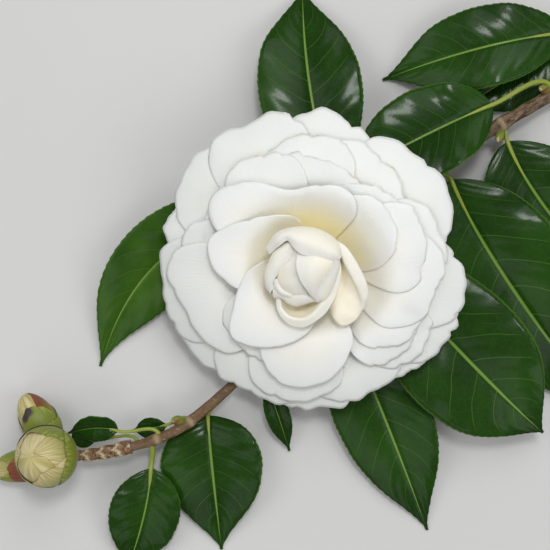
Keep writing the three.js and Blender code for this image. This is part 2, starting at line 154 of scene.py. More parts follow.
class Spline:
    """A smooth line through points, read by its length from 0 to 1."""

    STEPS_PER_SPAN: ClassVar[int] = 80
    TANGENT_STEP: ClassVar[float] = 4e-3

    def __init__(self, points: Array | tuple[tuple[float, ...], ...]) -> None:
        """Samples the centripetal curve through the points.

        Args:
            points: one row for each, of two or three numbers.
        """
        p = np.array(points, float)
        p = np.vstack([2 * p[0] - p[1], p, 2 * p[-1] - p[-2]])
        w = np.linspace(0, 1, self.STEPS_PER_SPAN, endpoint=False)[:, None]
        spans = [self._span(p[k : k + 4], w) for k in range(len(p) - 3)]
        self.line = np.vstack([*spans, p[-2:-1]])
        steps = np.linalg.norm(np.diff(self.line, axis=0), axis=1)
        self.share = np.concatenate([[0], np.cumsum(steps)]) / float(steps.sum())

    @staticmethod
    def _span(p: Array, w: Array) -> Array:
        """The stretch between the middle two of four points.

        Args:
            p: the four points.
            w: places on the stretch, from 0 to 1.

        Returns:
            A point for each place.
        """
        d0, d1, d2 = np.sqrt(np.maximum(np.linalg.norm(np.diff(p, axis=0), axis=1), 1e-6))
        start = ((p[1] - p[0]) / d0 - (p[2] - p[0]) / (d0 + d1) + (p[2] - p[1]) / d1) * d1
        end = ((p[2] - p[1]) / d1 - (p[3] - p[1]) / (d1 + d2) + (p[3] - p[2]) / d2) * d1
        rise = p[2] - p[1]
        bend = (3 * rise - 2 * start - end) * w**2 + (start + end - 2 * rise) * w**3
        return p[1] + start * w + bend

    def at(self, t: Array | float) -> Array:
        """Points at parts of the length."""
        return np.stack([np.interp(t, self.share, column) for column in self.line.T], -1)

    def tangent(self, t: Array | float) -> Array:
        """Unit directions at parts of the length."""
        before, after = (self.at(np.clip(t + k * self.TANGENT_STEP, 0, 1)) for k in (-1, 1))
        return unit(after - before)


class Ripple:
    """A gentle seeded unevenness: a sum of waves in all directions."""

    WAVES: ClassVar[int] = 9
    LENGTHS: ClassVar[tuple[float, float]] = (0.6, 1.5)  # about the typical one

    def __init__(self, seed: int, length: float) -> None:
        """Draws the waves.

        Args:
            seed: of the draws.
            length: of a typical wave, in millimetres.
        """
        rng = np.random.default_rng(seed)
        heading = unit(rng.normal(size=(self.WAVES, 3)))
        lengths = length * rng.uniform(*self.LENGTHS, (self.WAVES, 1))
        self.vectors = heading * (2 * math.pi / lengths)
        self.phases = rng.uniform(0, 2 * math.pi, self.WAVES)

    def at(self, points: Array) -> Array:
        """Its height at each point, mostly between -1 and 1."""
        return np.sin(points @ self.vectors.T + self.phases).sum(-1) / math.sqrt(self.WAVES)


# ---------------------------------------------------------------- meshes
@dataclass
class Patch:
    """One closed surface.

    Its chart holds each point's place across and along the surface, and its tone one more number
    between 0 and 1, both for its finish to read. marks says which finish each face has.
    """

    points: Array
    faces: list[list[int]]
    marks: list[int]
    chart: Array
    tone: Array

    def moved(self, turn: Array, foot: Array) -> "Patch":
        """The patch turned by a matrix and then moved."""
        return Patch(self.points @ turn.T + foot, self.faces, self.marks, self.chart, self.tone)


def grid_faces(rows: int, columns: int, ring: bool) -> Array:
    """Corners of the squares of a grid of points.

    Args:
        rows: of points.
        columns: of points.
        ring: whether the last column joins the first.

    Returns:
        One row of four corners for each square.
    """
    squares_across = columns if ring else columns - 1
    i, j = np.meshgrid(np.arange(rows - 1), np.arange(squares_across), indexing="ij")
    k = (j + 1) % columns
    corners = [i * columns + j, (i + 1) * columns + j, (i + 1) * columns + k, i * columns + k]
    return np.stack([c.ravel() for c in corners], -1)


def shell(top: Array, thickness: Array, chart: Array, tone: Array, marks: tuple[int, int]) -> Patch:
    """A thin closed body under a grid of points.

    Args:
        top: points of its upper side, in rows and columns; the rows' direction crossed with the
            columns' points out of it.
        thickness: at each point.
        chart: place across and along at each point.
        tone: the finish's number at each point.
        marks: the finish of the upper side and rim, and that of the underside.

    Returns:
        The closed patch.
    """
    rows, columns = top.shape[:2]
    normals = unit(np.cross(np.gradient(top, axis=0), np.gradient(top, axis=1)))
    under = top - normals * thickness[..., None]
    upper = grid_faces(rows, columns, ring=False)
    below = rows * columns
    index = np.arange(below).reshape(rows, columns)
    edge = np.concatenate([index[0], index[1:, -1], index[-1, -2::-1], index[-2:0:-1, 0]])
    after = np.roll(edge, -1)
    rim = np.stack([edge, after, after + below, edge + below], -1)
    return Patch(
        points=np.concatenate([top.reshape(-1, 3), under.reshape(-1, 3)]),
        faces=[*upper.tolist(), *rim.tolist(), *(upper[:, ::-1] + below).tolist()],
        marks=[marks[0]] * (len(upper) + len(rim)) + [marks[1]] * len(upper),
        chart=np.tile(chart.reshape(-1, 2), (2, 1)),
        tone=np.tile(tone.ravel(), 2),
    )


def tube(rings: Array, tone: Array, marks: tuple[int, int]) -> Patch:
    """A closed limb from rings of points, which run clockwise seen along the limb.

    Args:
        rings: points in rows, one row a ring.
        tone: the finish's number at each point.
        marks: the finish of the limb's side, and that of its ends.

    Returns:
        The closed patch.
    """
    rows, columns = rings.shape[:2]
    side = grid_faces(rows, columns, ring=True)
    j = np.arange(columns)
    k = (j + 1) % columns
    first, last, far = rows * columns, rows * columns + 1, (rows - 1) * columns
    ends = np.concatenate([
        np.stack([np.full(columns, first), j, k], -1),
        np.stack([np.full(columns, last), far + k, far + j], -1),
    ])
    places = np.stack([np.tile(j / columns, rows), np.repeat(np.linspace(0, 1, rows), columns)], -1)
    return Patch(
        points=np.concatenate([rings.reshape(-1, 3), rings[[0, -1]].mean(axis=1)]),
        faces=[*side.tolist(), *ends.tolist()],
        marks=[marks[0]] * len(side) + [marks[1]] * len(ends),
        chart=np.concatenate([places, [[0.5, 0], [0.5, 1]]]),
        tone=np.concatenate([tone.ravel(), tone[[0, -1], 0]]),
    )


def limb(line: Array, radii: Array, sides: int) -> Array:
    """Rings of points round a line.

    Args:
        line: the limb's centre points.
        radii: its radius at each, or one for each point of each ring.
        sides: points in a ring.

    Returns:
        The rings, as tube takes them.
    """
    side, over = across(unit(np.gradient(line, axis=0)))
    angle = round_angles(sides)[:, None]
    radii = np.broadcast_to(radii.reshape(len(line), -1), (len(line), sides))[..., None]
    return line[:, None] + radii * (side[:, None] * np.cos(angle) + over[:, None] * np.sin(angle))


def lathe(outline: Array, sides: int) -> Array:
    """Rings of points round the z axis.

    Args:
        outline: rows of radius and height, going up.
        sides: points in a ring.

    Returns:
        The rings, as tube takes them.
    """
    angle = -round_angles(sides)
    ring = np.stack([np.cos(angle), np.sin(angle), np.ones(sides)], -1)
    return ring * outline[:, [0, 0, 1]][:, None]


def place_in_frame(points: Array) -> Array:
    """Points of the drawing in the frame's metres."""
    return (points - BOX_MIDDLE) * MM


def make_piece(name: str, patches: list[Patch], finishes: list[Material],
               nodes: tuple[str, ...]) -> None:
    """Joins patches into one piece that stands for CAD nodes and rides on the branch.

    Args:
        name: of the new object.
        patches: its surfaces, in the drawing's millimetres.
        finishes: the materials that the patches' marks count.
        nodes: the CAD nodes that it replaces.
    """
    mesh = bpy.data.meshes.new(name)
    starts = np.cumsum([0] + [len(p.points) for p in patches])
    faces = [[start + corner for corner in f] for start, p in zip(starts, patches) for f in p.faces]
    points = place_in_frame(np.concatenate([p.points for p in patches]))
    mesh.from_pydata(points.tolist(), [], faces)
    for finish in finishes:
        mesh.materials.append(finish)
    mesh.polygons.foreach_set("material_index", [m for p in patches for m in p.marks])
    mesh.polygons.foreach_set("use_smooth", [True] * len(mesh.polygons))
    corners = np.empty(len(mesh.loops), np.int32)
    mesh.loops.foreach_get("vertex_index", corners)
    chart = np.concatenate([p.chart for p in patches])[corners]
    mesh.uv_layers.new(name="Chart").uv.foreach_set("vector", chart.astype(np.float32).ravel())
    tone = mesh.attributes.new("tone", "FLOAT", "POINT")
    tone.data.foreach_set("value", np.concatenate([p.tone for p in patches]).astype(np.float32))
    mesh.update()
    piece = bpy.data.objects.new(name, mesh)
    bpy.context.scene.collection.objects.link(piece)
    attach(piece, "root")
    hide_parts(*nodes)
    LOG.info("%s: %d faces, replaces %s", name, len(mesh.polygons), ", ".join(nodes))


# ---------------------------------------------------------------- finishes
class Sheet:
    """A material's node tree, with short calls for the nodes that the finishes share."""

    def __init__(self, name: str) -> None:
        """Starts a material with one Principled shader.

        Args:
            name: of the material.
        """
        self.material = bpy.data.materials.new(name)
        self.material.use_nodes = True
        self.tree = self.material.node_tree
        self.shader = self.tree.nodes["Principled BSDF"]

    def node(self, kind: str, **settings: str) -> bpy.types.Node:
        """A new node.

        Args:
            kind: its type.
            **settings: properties of it that differ from the usual ones.

        Returns:
            The node, with nothing fed to it yet.
        """
        made = self.tree.nodes.new(kind)
        for key, value in settings.items():
            setattr(made, key, value)
        return made

    def feed(self, socket: Socket, value: Value) -> None:
        """Links a socket to an output, or sets it to a number or colour.

        Args:
            socket: an input of a node.
            value: what it gets.
        """
        if isinstance(value, Socket):
            self.tree.links.new(value, socket)
        elif isinstance(value, tuple):
            socket.default_value = (*value, 1.0) if len(socket.default_value) == 4 else value
        else:
            socket.default_value = value

    def math(self, operation: str, a: Value, b: Value = 0.0) -> Socket:
        """Works a number out of one or two others.

        Args:
            operation: the Math node's.
            a: the first number.
            b: the second, where the operation has one.

        Returns:
            The result.
        """
        made = self.node("ShaderNodeMath", operation=operation)
        self.feed(made.inputs[0], a)
        self.feed(made.inputs[1], b)
        return made.outputs[0]

    def times(self, a: Value, b: Value) -> Socket:
        """The product of two numbers."""
        return self.math("MULTIPLY", a, b)

    def plus(self, a: Value, b: Value) -> Socket:
        """The sum of two numbers."""
        return self.math("ADD", a, b)

    def range(self, value: Socket, low: float, high: float, to_low: float = 0.0,
              to_high: float = 1.0) -> Socket:
        """Moves a number smoothly from one range to another and keeps it in that.

        Args:
            value: the number.
            low: where the first range starts.
            high: where it ends.
            to_low: where the second range starts.
            to_high: where it ends.

        Returns:
            The number in the second range.
        """
        made = self.node("ShaderNodeMapRange", interpolation_type="SMOOTHSTEP")
        for socket, number in zip(made.inputs, (value, low, high, to_low, to_high)):
            self.feed(socket, number)
        return made.outputs[0]

    def mix(self, factor: Socket, a: Value, b: Value) -> Socket:
        """Mixes two colours.

        Args:
            factor: 0 for the first and 1 for the second.
            a: the first colour.
            b: the second colour.

        Returns:
            The colour between them.
        """
        made = self.node("ShaderNodeMix", data_type="RGBA")
        self.feed(made.inputs["Factor"], factor)
        self.feed(made.inputs[6], a)
        self.feed(made.inputs[7], b)
        return made.outputs[2]

    def place(self) -> Socket:
        """Coordinates in the frame's metres."""
        return self.node("ShaderNodeTexCoord").outputs["Object"]

    def chart(self) -> tuple[Socket, Socket]:
        """Reads the surface's chart.

        Returns:
            The place across and the place along the surface.
        """
        split = self.node("ShaderNodeSeparateXYZ")
        self.feed(split.inputs[0], self.node("ShaderNodeUVMap", uv_map="Chart").outputs[0])
        return split.outputs[0], split.outputs[1]

    def tone(self) -> Socket:
        """The number that the mesh holds at each point."""
        return self.node("ShaderNodeAttribute", attribute_name="tone").outputs["Fac"]

    def noise(self, scale: float, detail: float = 3.0, where: Socket | None = None) -> Socket:
        """Soft seamless noise.

        Args:
            scale: its waves a metre.
            detail: how many finer layers it has.
            where: the coordinates that it is read at, if not the place in the frame.

        Returns:
            A number from 0 to 1.
        """
        made = self.node("ShaderNodeTexNoise")
        self.feed(made.inputs["Vector"], self.place() if where is None else where)
        self.feed(made.inputs["Scale"], scale)
        self.feed(made.inputs["Detail"], detail)
        return made.outputs["Fac"]

    def streaks(self, count_across: float, count_along: float, detail: float = 3.0) -> Socket:
        """Noise drawn out along the surface's chart.

        Args:
            count_across: its waves across the surface.
            count_along: its waves along the surface.
            detail: how many finer layers it has.

        Returns:
            A number from 0 to 1.
        """
        where = self.node("ShaderNodeCombineXYZ")
        for socket, place, count in zip(where.inputs, self.chart(), (count_across, count_along)):
            self.feed(socket, self.times(place, count))
        return self.noise(1.0, detail, where.outputs[0])

    def net(self, width: float, height: float = 1.0) -> Socket:
        """The leaf's finest veins.

        Args:
            width: how far from a vein's middle it still reads, as a part of a mesh.
            height: what it reads at a vein's middle.

        Returns:
            The height on a vein, and 0 in the meshes between them.
        """
        made = self.node("ShaderNodeTexVoronoi", feature="DISTANCE_TO_EDGE")
        self.feed(made.inputs["Vector"], self.place())
        self.feed(made.inputs["Scale"], LEAF_NET)
        return self.range(made.outputs["Distance"], width, 0.0, 0.0, height)

    def bump(self, height: Socket, distance: float) -> None:
        """Raises a relief under the shader's gloss.

        Args:
            height: the relief, mostly from 0 to 1.
            distance: its depth in metres.
        """
        made = self.node("ShaderNodeBump")
        self.feed(made.inputs["Height"], height)
        self.feed(made.inputs["Distance"], distance)
        self.feed(made.inputs["Strength"], 1.0)
        self.feed(self.shader.inputs["Normal"], made.outputs[0])

    def set(self, **values: Value) -> None:
        """Sets or links the shader's sockets, named with underscores."""
        for key, value in values.items():
            self.feed(self.shader.inputs[key.replace("_", " ")], value)


@dataclass(frozen=True)
class Finish(ABC):
    """What one kind of surface looks like.

    Where a finish has a relief, that is the depth of its bumps in metres.
    """

    name: str

    @abstractmethod
    def dress(self, s: Sheet) -> None:
        """Feeds the shader.

        Args:
            s: a new sheet.
        """

    def make(self) -> Material:
        """Builds the finish.

        Returns:
            Its material.
        """
        sheet = Sheet(self.name)
        self.dress(sheet)
        return sheet.material


@dataclass(frozen=True)
class PetalFinish(Finish):
    """Soft matt petal: white at its rim, cream and a painted glow towards its foot, finely veined
    lengthwise.
    """

    # the outer whorl's whites: a little greyer than the inner whorls' as painted shade
    rim: Colour = (0.81, 0.825, 0.785)
    body: Colour = (0.83, 0.835, 0.775)
    # the foot's colour: the petal's real cream, made brighter and deeper as a painted glow of light
    # shining through the petal
    foot: Colour = (1.0, 0.89, 0.50)
    vein: Colour = (0.76, 0.77, 0.76)
    bruise: Colour = (0.62, 0.50, 0.33)
    veins: float = 64.0           # across the chart
    vein_strength: float = 0.12
    bruise_strength: float = 0.75
    relief: float = 0.00013

    def dress(self, s: Sheet) -> None:
        """Feeds the shader: warm foot with its painted glow, faint veins and a few bruises on the
        very rim.

        Args:
            s: a new sheet.
        """
        along = s.chart()[1]
        cloud = s.noise(55.0, 2.0)
        # body colour towards the foot and rim colour at the edge; in the inner and heart whorls the
        # body is brighter and warmer, partly real cream and partly painted glow
        white = s.mix(s.range(along, 0.45, 1.0), self.body, self.rim)
        # painted glow: the foot's colour, taken where the mesh's tone is high, deep in the bloom
        warm = s.mix(s.times(s.tone(), s.range(cloud, 0.2, 0.7, 0.8, 1.0)), white, self.foot)
        vein = s.streaks(self.veins, 1.0)
        lined = s.mix(s.range(vein, 0.45, 0.8, 0.0, self.vein_strength), warm, self.vein)
        bruised = s.times(s.range(along, 0.975, 1.0), s.range(s.noise(230.0, 4.0), 0.56, 0.7))
        s.set(Base_Color=s.mix(s.times(bruised, self.bruise_strength), lined, self.bruise))
        s.set(Roughness=s.range(cloud, 0.2, 0.8, 0.46, 0.6), Specular_IOR_Level=0.3)
        s.set(Subsurface_Weight=0.2, Subsurface_Radius=(0.9, 0.75, 0.5), Subsurface_Scale=0.0016)
        s.set(Sheen_Weight=0.12, Sheen_Roughness=0.4)
        s.bump(s.plus(s.times(vein, 0.8), s.times(s.noise(900.0, 2.0), 0.3)), self.relief)


@dataclass(frozen=True)
class LeafFinish(Finish):
    """Waxy leaf: a network of paler veins in a deep green, a pale margin, and a glossy skin."""

    deep: Colour = (0.007, 0.030, 0.002)
    fresh: Colour = (0.015, 0.060, 0.004)
    vein: Colour = (0.070, 0.155, 0.022)
    rib: Colour = (0.15, 0.26, 0.045)
    rough: tuple[float, float] = (0.3, 0.44)
    line_strength: float = 0.55
    net_strength: float = 0.09
    margin_strength: float = 0.8
    wax: float = 0.2
    wax_rough: float = 0.17
    relief: float = 0.0002

    def dress(self, s: Sheet) -> None:
        """Feeds the shader: midrib, side veins that match the blade's folds, net and margin.

        Args:
            s: a new sheet.
        """
        u, v = s.chart()
        aside = s.math("ABSOLUTE", u)
        ground = s.mix(s.range(s.noise(45.0, 3.0), 0.3, 0.75), self.deep, self.fresh)
        sweep = s.times(s.math("POWER", aside, LEAF_VEIN_BEND), LEAF_VEIN_SWEEP)
        stagger = s.times(s.math("SIGN", u), LEAF_VEIN_STAGGER)
        count = s.times(s.math("SUBTRACT", v, sweep), LEAF_SIDE_VEINS)
        wander = s.times(s.noise(70.0, 2.0), 0.3)
        phase = s.math("FRACT", s.plus(s.plus(count, stagger), wander))
        off_line = s.math("ABSOLUTE", s.math("SUBTRACT", phase, 0.5))
        line = s.times(s.range(off_line, 0.034, 0.008), s.range(aside, 0.93, 0.7))
        net = s.net(0.07, self.net_strength)
        veins = s.math("MAXIMUM", s.times(line, self.line_strength), net)
        margin = s.times(s.range(aside, 0.955, 0.995), self.margin_strength)
        edged = s.mix(margin, s.mix(veins, ground, self.vein), self.vein)
        s.set(Base_Color=s.mix(s.range(aside, 0.034, 0.012), edged, self.rib))
        s.set(Roughness=s.range(s.noise(160.0, 3.0), 0.3, 0.75, *self.rough))
        s.set(Specular_IOR_Level=0.05, Coat_Weight=self.wax, Coat_Roughness=self.wax_rough)
        grooves = s.times(s.math("MAXIMUM", line, net), -0.6)
        s.bump(s.plus(grooves, s.times(s.noise(700.0, 2.0), 0.5)), self.relief)


@dataclass(frozen=True)
class UndersideFinish(Finish):
    """The leaf's pale, matt underside."""

    pale: Colour = (0.10, 0.19, 0.04)
    dull: Colour = (0.07, 0.14, 0.03)
    rough: float = 0.6
    relief: float = 0.0001

    def dress(self, s: Sheet) -> None:
        """Feeds the shader: two dull greens, with the net of veins raised.

        Args:
            s: a new sheet.
        """
        cloud = s.range(s.noise(60.0), 0.3, 0.7)
        s.set(Base_Color=s.mix(cloud, self.pale, self.dull), Roughness=self.rough)
        s.bump(s.net(0.12), self.relief)


@dataclass(frozen=True)
class StalkFinish(Finish):
    """Green stalks and ribs, streaked lengthwise."""

    fresh: Colour = (0.29, 0.36, 0.035)
    shade: Colour = (0.17, 0.22, 0.03)
    rough: float = 0.42
    relief: float = 0.00012

    def dress(self, s: Sheet) -> None:
        """Feeds the shader: two greens in streaks.

        Args:
            s: a new sheet.
        """
        streak = s.streaks(14.0, 5.0)
        green = s.mix(s.range(streak, 0.3, 0.7), self.fresh, self.shade)
        s.set(Base_Color=green, Roughness=self.rough)
        s.bump(streak, self.relief)


@dataclass(frozen=True)
class BarkFinish(Finish):
    """Thin grey-brown bark, streaked lengthwise and finely flaked, ruddier where it is young."""

    old: Colour = (0.19, 0.13, 0.08)
    dark: Colour = (0.055, 0.032, 0.02)
    young: Colour = (0.16, 0.095, 0.05)
    scar: Colour = (0.44, 0.34, 0.21)
    youth: float = 0.6
    flaking: float = 0.55
    relief: float = 0.0004

    def dress(self, s: Sheet) -> None:
        """Feeds the shader: streaks, younger wood towards the tip, flakes and scars.

        Args:
            s: a new sheet.
        """
        streak = s.streaks(9.0, 60.0, 4.0)
        flake = s.noise(900.0, 4.0)
        wood = s.mix(s.range(streak, 0.32, 0.68), self.old, self.dark)
        aged = s.mix(s.range(s.chart()[1], 0.55, 0.8, 0.0, self.youth), wood, self.young)
        flaked = s.mix(s.range(flake, 0.58, 0.72, 0.0, self.flaking), aged, self.scar)
        s.set(Base_Color=s.mix(s.tone(), flaked, self.scar), Roughness=0.8, Specular_IOR_Level=0.25)
        s.bump(s.plus(s.times(streak, 0.6), flake), self.relief)


@dataclass(frozen=True)
class CutWoodFinish(Finish):
    """The pale wood of the cut end, with its darker pith and rim.

    middle is the middle of the cut in the frame's metres, and the radii are in metres too.
    """

    middle: Point
    wood: Colour = (0.62, 0.50, 0.32)
    grain: Colour = (0.4, 0.3, 0.17)
    pith: Colour = (0.16, 0.1, 0.05)
    rim: Colour = (0.24, 0.30, 0.10)
    pith_radii: tuple[float, float] = (0.0006, 0.0003)
    rim_radii: tuple[float, float] = (0.0018, 0.0021)
    relief: float = 0.0001

    def dress(self, s: Sheet) -> None:
        """Feeds the shader: pith, grained wood and rim, by the distance from the middle.

        Args:
            s: a new sheet.
        """
        away = s.node("ShaderNodeVectorMath", operation="DISTANCE")
        s.feed(away.inputs[0], s.place())
        s.feed(away.inputs[1], self.middle)
        radius = away.outputs["Value"]
        noise = s.noise(2500.0)
        grained = s.mix(s.range(noise, 0.3, 0.7, 0.0, 0.4), self.wood, self.grain)
        pithy = s.mix(s.range(radius, *self.pith_radii), grained, self.pith)
        s.set(Base_Color=s.mix(s.range(radius, *self.rim_radii), pithy, self.rim), Roughness=0.75)
        s.bump(noise, self.relief)


@dataclass(frozen=True)
class ScaleFinish(Finish):
    """A bud's scale: its body's green, and at its tip a brown edge with pale silky hairs."""

    body: Colour = (0.15, 0.20, 0.010)
    pale: Colour = (0.25, 0.28, 0.03)
    foot: Colour = (0.16, 0.20, 0.012)
    edge: Colour = (0.17, 0.07, 0.03)
    hair: Colour = (0.62, 0.58, 0.40)
    spot: Colour = (0.035, 0.02, 0.022)
    fade: tuple[float, float] = (0.35, 0.8)  # where the foot's colour gives way
    silk: float = 0.12
    relief: float = 0.00025

    def dress(self, s: Sheet) -> None:
        """Feeds the shader: body, brown edge, silk, and the dark spot where the tone is high.

        Args:
            s: a new sheet.
        """
        v = s.chart()[1]
        streak = s.streaks(16.0, 2.0)
        tip = s.mix(s.range(streak, 0.3, 0.7), self.body, self.pale)
        skin = s.mix(s.range(v, *self.fade), self.foot, tip)
        near_edge = s.plus(v, s.times(s.math("SUBTRACT", s.noise(350.0), 0.5), 0.14))
        browned = s.mix(s.times(s.range(near_edge, 0.9, 0.985), s.tone()), skin, self.edge)
        silk = s.times(s.range(v, 0.5, 0.8), s.range(streak, 0.5, 0.62, 0.0, self.silk))
        spotted = s.mix(s.range(s.tone(), 0.62, 0.85), s.mix(silk, browned, self.hair), self.spot)
        s.set(Base_Color=spotted, Roughness=s.range(v, 0.4, 0.9, 0.42, 0.62))
        s.set(Sheen_Weight=0.1, Sheen_Roughness=0.35)
        s.bump(streak, self.relief)


@dataclass(frozen=True)
class FloorFinish(Finish):
    """A plain pale matt surface."""

    tint: Colour = (0.60, 0.60, 0.60)
    shade: Colour = (0.582, 0.582, 0.582)
    rough: float = 0.85

    def dress(self, s: Sheet) -> None:
        """Feeds the shader: one grey, very faintly clouded."""
        cloud = s.range(s.noise(4.0, 2.0), 0.3, 0.7)
        s.set(Base_Color=s.mix(cloud, self.tint, self.shade), Roughness=self.rough)


# ---------------------------------------------------------------- twig and budding shoot
@dataclass
class Twig:
    """The woody twig, from its cut end to the foot of the budding shoot.

    nodes are the places where leaves grow or grew, as parts of the length. Every width and place
    along the twig is such a part too.
    """

    line: tuple[Point, ...] = (
        (123.8, 81.5, 2.28), (108.6, 72.0, 4.5), (94.1, 61.6, 8.0), (77.5, 51.7, 10.5),
        (62.9, 42.5, 11.0), (42.6, 28.0, 9.5), (16.1, 7.2, 8.0), (3.4, -15.4, 6.6),
        (-8.5, -31.6, 6.2), (-23.6, -45.6, 9.5), (-32.6, -52.4, 11.4), (-42.6, -56.8, 11.8),
        (-50.0, -58.8, 11.8),
    )
    cut_radius: float = 2.3
    end_radius: float = 1.6
    nodes: tuple[float, ...] = (0.15, 0.245, 0.36, 0.5, 0.585, 0.9, 0.955)
    node_swell: float = 0.22
    node_width: float = 0.012
    scar_tone: float = 0.55
    scar_width: float = 0.004
    ring_places: tuple[float, ...] = (-0.006, 0.0, 0.005)  # of the scars' ridges, about each node
    ring_width: float = 0.0011
    ring_height: float = 0.10
    furrow_counts: tuple[int, ...] = (3, 5, 7, 9)  # round the twig, the more the shallower
    furrow_depth: float = 0.085
    furrow_drift: tuple[float, float] = (20, 60)
    furrow_wander: float = 2.2
    furrow_seed: int = 11
    knots: Ripple = Ripple(5, 6.0)
    knot_height: float = 0.06
    bevel: float = 0.35  # of the cut edge
    steps: int = 640
    sides: int = 22

    def __post_init__(self) -> None:
        """Draws the centre line."""
        self.curve = Spline(self.line)

    def near_nodes(self, t: Array | float, width: float) -> Array:
        """1 at each node, falling away over a width."""
        return np.max([bell(t - node, width) for node in self.nodes], axis=0)

    def radius(self, t: Array | float) -> Array:
        """The twig's radius at parts of its length."""
        plain = self.cut_radius + (self.end_radius - self.cut_radius) * t
        return plain * (1 + self.node_swell * self.near_nodes(t, self.node_width))

    def relief(self, t: Array) -> Array:
        """Lengthwise furrows, the ridges of scars, and knots.

        Args:
            t: parts of the length.

        Returns:
            What each point of the ring at each part adds to the radius.
        """
        angle = round_angles(self.sides)
        rng = np.random.default_rng(self.furrow_seed)
        furrows = np.zeros((len(t), self.sides))
        for count in self.furrow_counts:
            phase, drift = rng.uniform(0, ANY_PHASE), rng.uniform(*self.furrow_drift)
            wander = self.furrow_wander * np.sin(drift * t + phase)[:, None]
            furrows += np.sin(count * angle + phase + wander) / count
        ridges = sum(bell(t - node - place, self.ring_width)
                     for node in self.nodes for place in self.ring_places)
        rings = self.ring_height * ridges + self.knot_height * self.knots.at(self.curve.at(t))
        return self.furrow_depth * furrows + rings[:, None]

    def build(self) -> None:
        """Makes the twig's mesh and dresses it."""
        t = np.linspace(0, 1, self.steps)
        line = self.curve.at(t)
        radii = self.radius(t)[:, None] + self.relief(t)
        radii[:2] = self.radius(0.0) - self.bevel
        scars = self.scar_tone * self.near_nodes(t, self.scar_width)
        wood = tube(limb(line, radii, self.sides), np.repeat(scars[:, None], self.sides, 1), (0, 1))
        cut = CutWoodFinish("cut_wood", middle=tuple(place_in_frame(line[0]).tolist()))
        finishes = [BarkFinish("twig_bark").make(), cut.make()]
        make_piece("bark_twig", [wood], finishes, ("main_twig",))


@dataclass
class BuddingShoot:
    """The short shoot that carries the flower buds, ringed by old bud scars.

    From one ring to the next the shoot swells slowly and then steps back in. swelling and stepping
    say over which part of that stretch, and scar_start and scar_end where the pale scar shows.
    """

    line: tuple[Point, ...] = (
        (-49.0, -58.55, 11.8), (-55.0, -60.0, 11.2), (-60.0, -61.0, 10.6), (-67.0, -61.8, 9.8),
        (-74.5, -61.8, 9.2), (-76.4, -61.9, 9.0),
    )
    foot_radius: float = 2.5
    tip_radius: float = 1.5
    rings: int = 5
    swell: float = 0.28
    swelling: tuple[float, float] = (0.0, 0.75)
    stepping: tuple[float, float] = (0.86, 0.99)
    scar_start: tuple[float, float] = (0.55, 0.85)
    scar_end: tuple[float, float] = (0.93, 1.0)
    steps: int = 190
    sides: int = 24
    bark: BarkFinish = BarkFinish(
        "shoot_bark", old=(0.30, 0.17, 0.09), young=(0.22, 0.10, 0.06), scar=(0.60, 0.50, 0.33))

    def build(self) -> None:
        """Makes the shoot's mesh with its ragged rings and dresses it."""
        t = np.linspace(0, 1, self.steps)
        angle = round_angles(self.sides)
        ragged = 0.025 * np.sin(3 * angle + 1) + 0.018 * np.sin(7 * angle + 2)
        phase = (t[:, None] * self.rings + ragged * self.rings) % 1.0
        step = smooth_step(*self.swelling, phase) * (1 - smooth_step(*self.stepping, phase))
        plain = self.foot_radius + (self.tip_radius - self.foot_radius) * t
        radii = plain[:, None] + self.swell * (2 * step - 1)
        scars = smooth_step(*self.scar_start, phase) * (1 - smooth_step(*self.scar_end, phase))
        patch = tube(limb(Spline(self.line).at(t), radii, self.sides), scars, (0, 0))
        make_piece("scarred_shoot", [patch], [self.bark.make()], ("budding_shoot",))


# ---------------------------------------------------------------- leaves
class LeafTone(Enum):
    """How much sun a leaf has had."""

    DEEP = "deep"
    FRESH = "fresh"


@dataclass(frozen=True)
class LeafShape:
    """Where one leaf grows and how it lies.

    at is where its stalk leaves the twig, as a part of the length; base, middle and tip are on the
    midrib; roll lifts its right side, seen from the foot, and fold is the rise of both halves.
    """

    name: str
    at: float
    width: float
    roll: float
    fold: float
    base: Point
    middle: Point
    tip: Point
    tone: LeafTone = LeafTone.DEEP


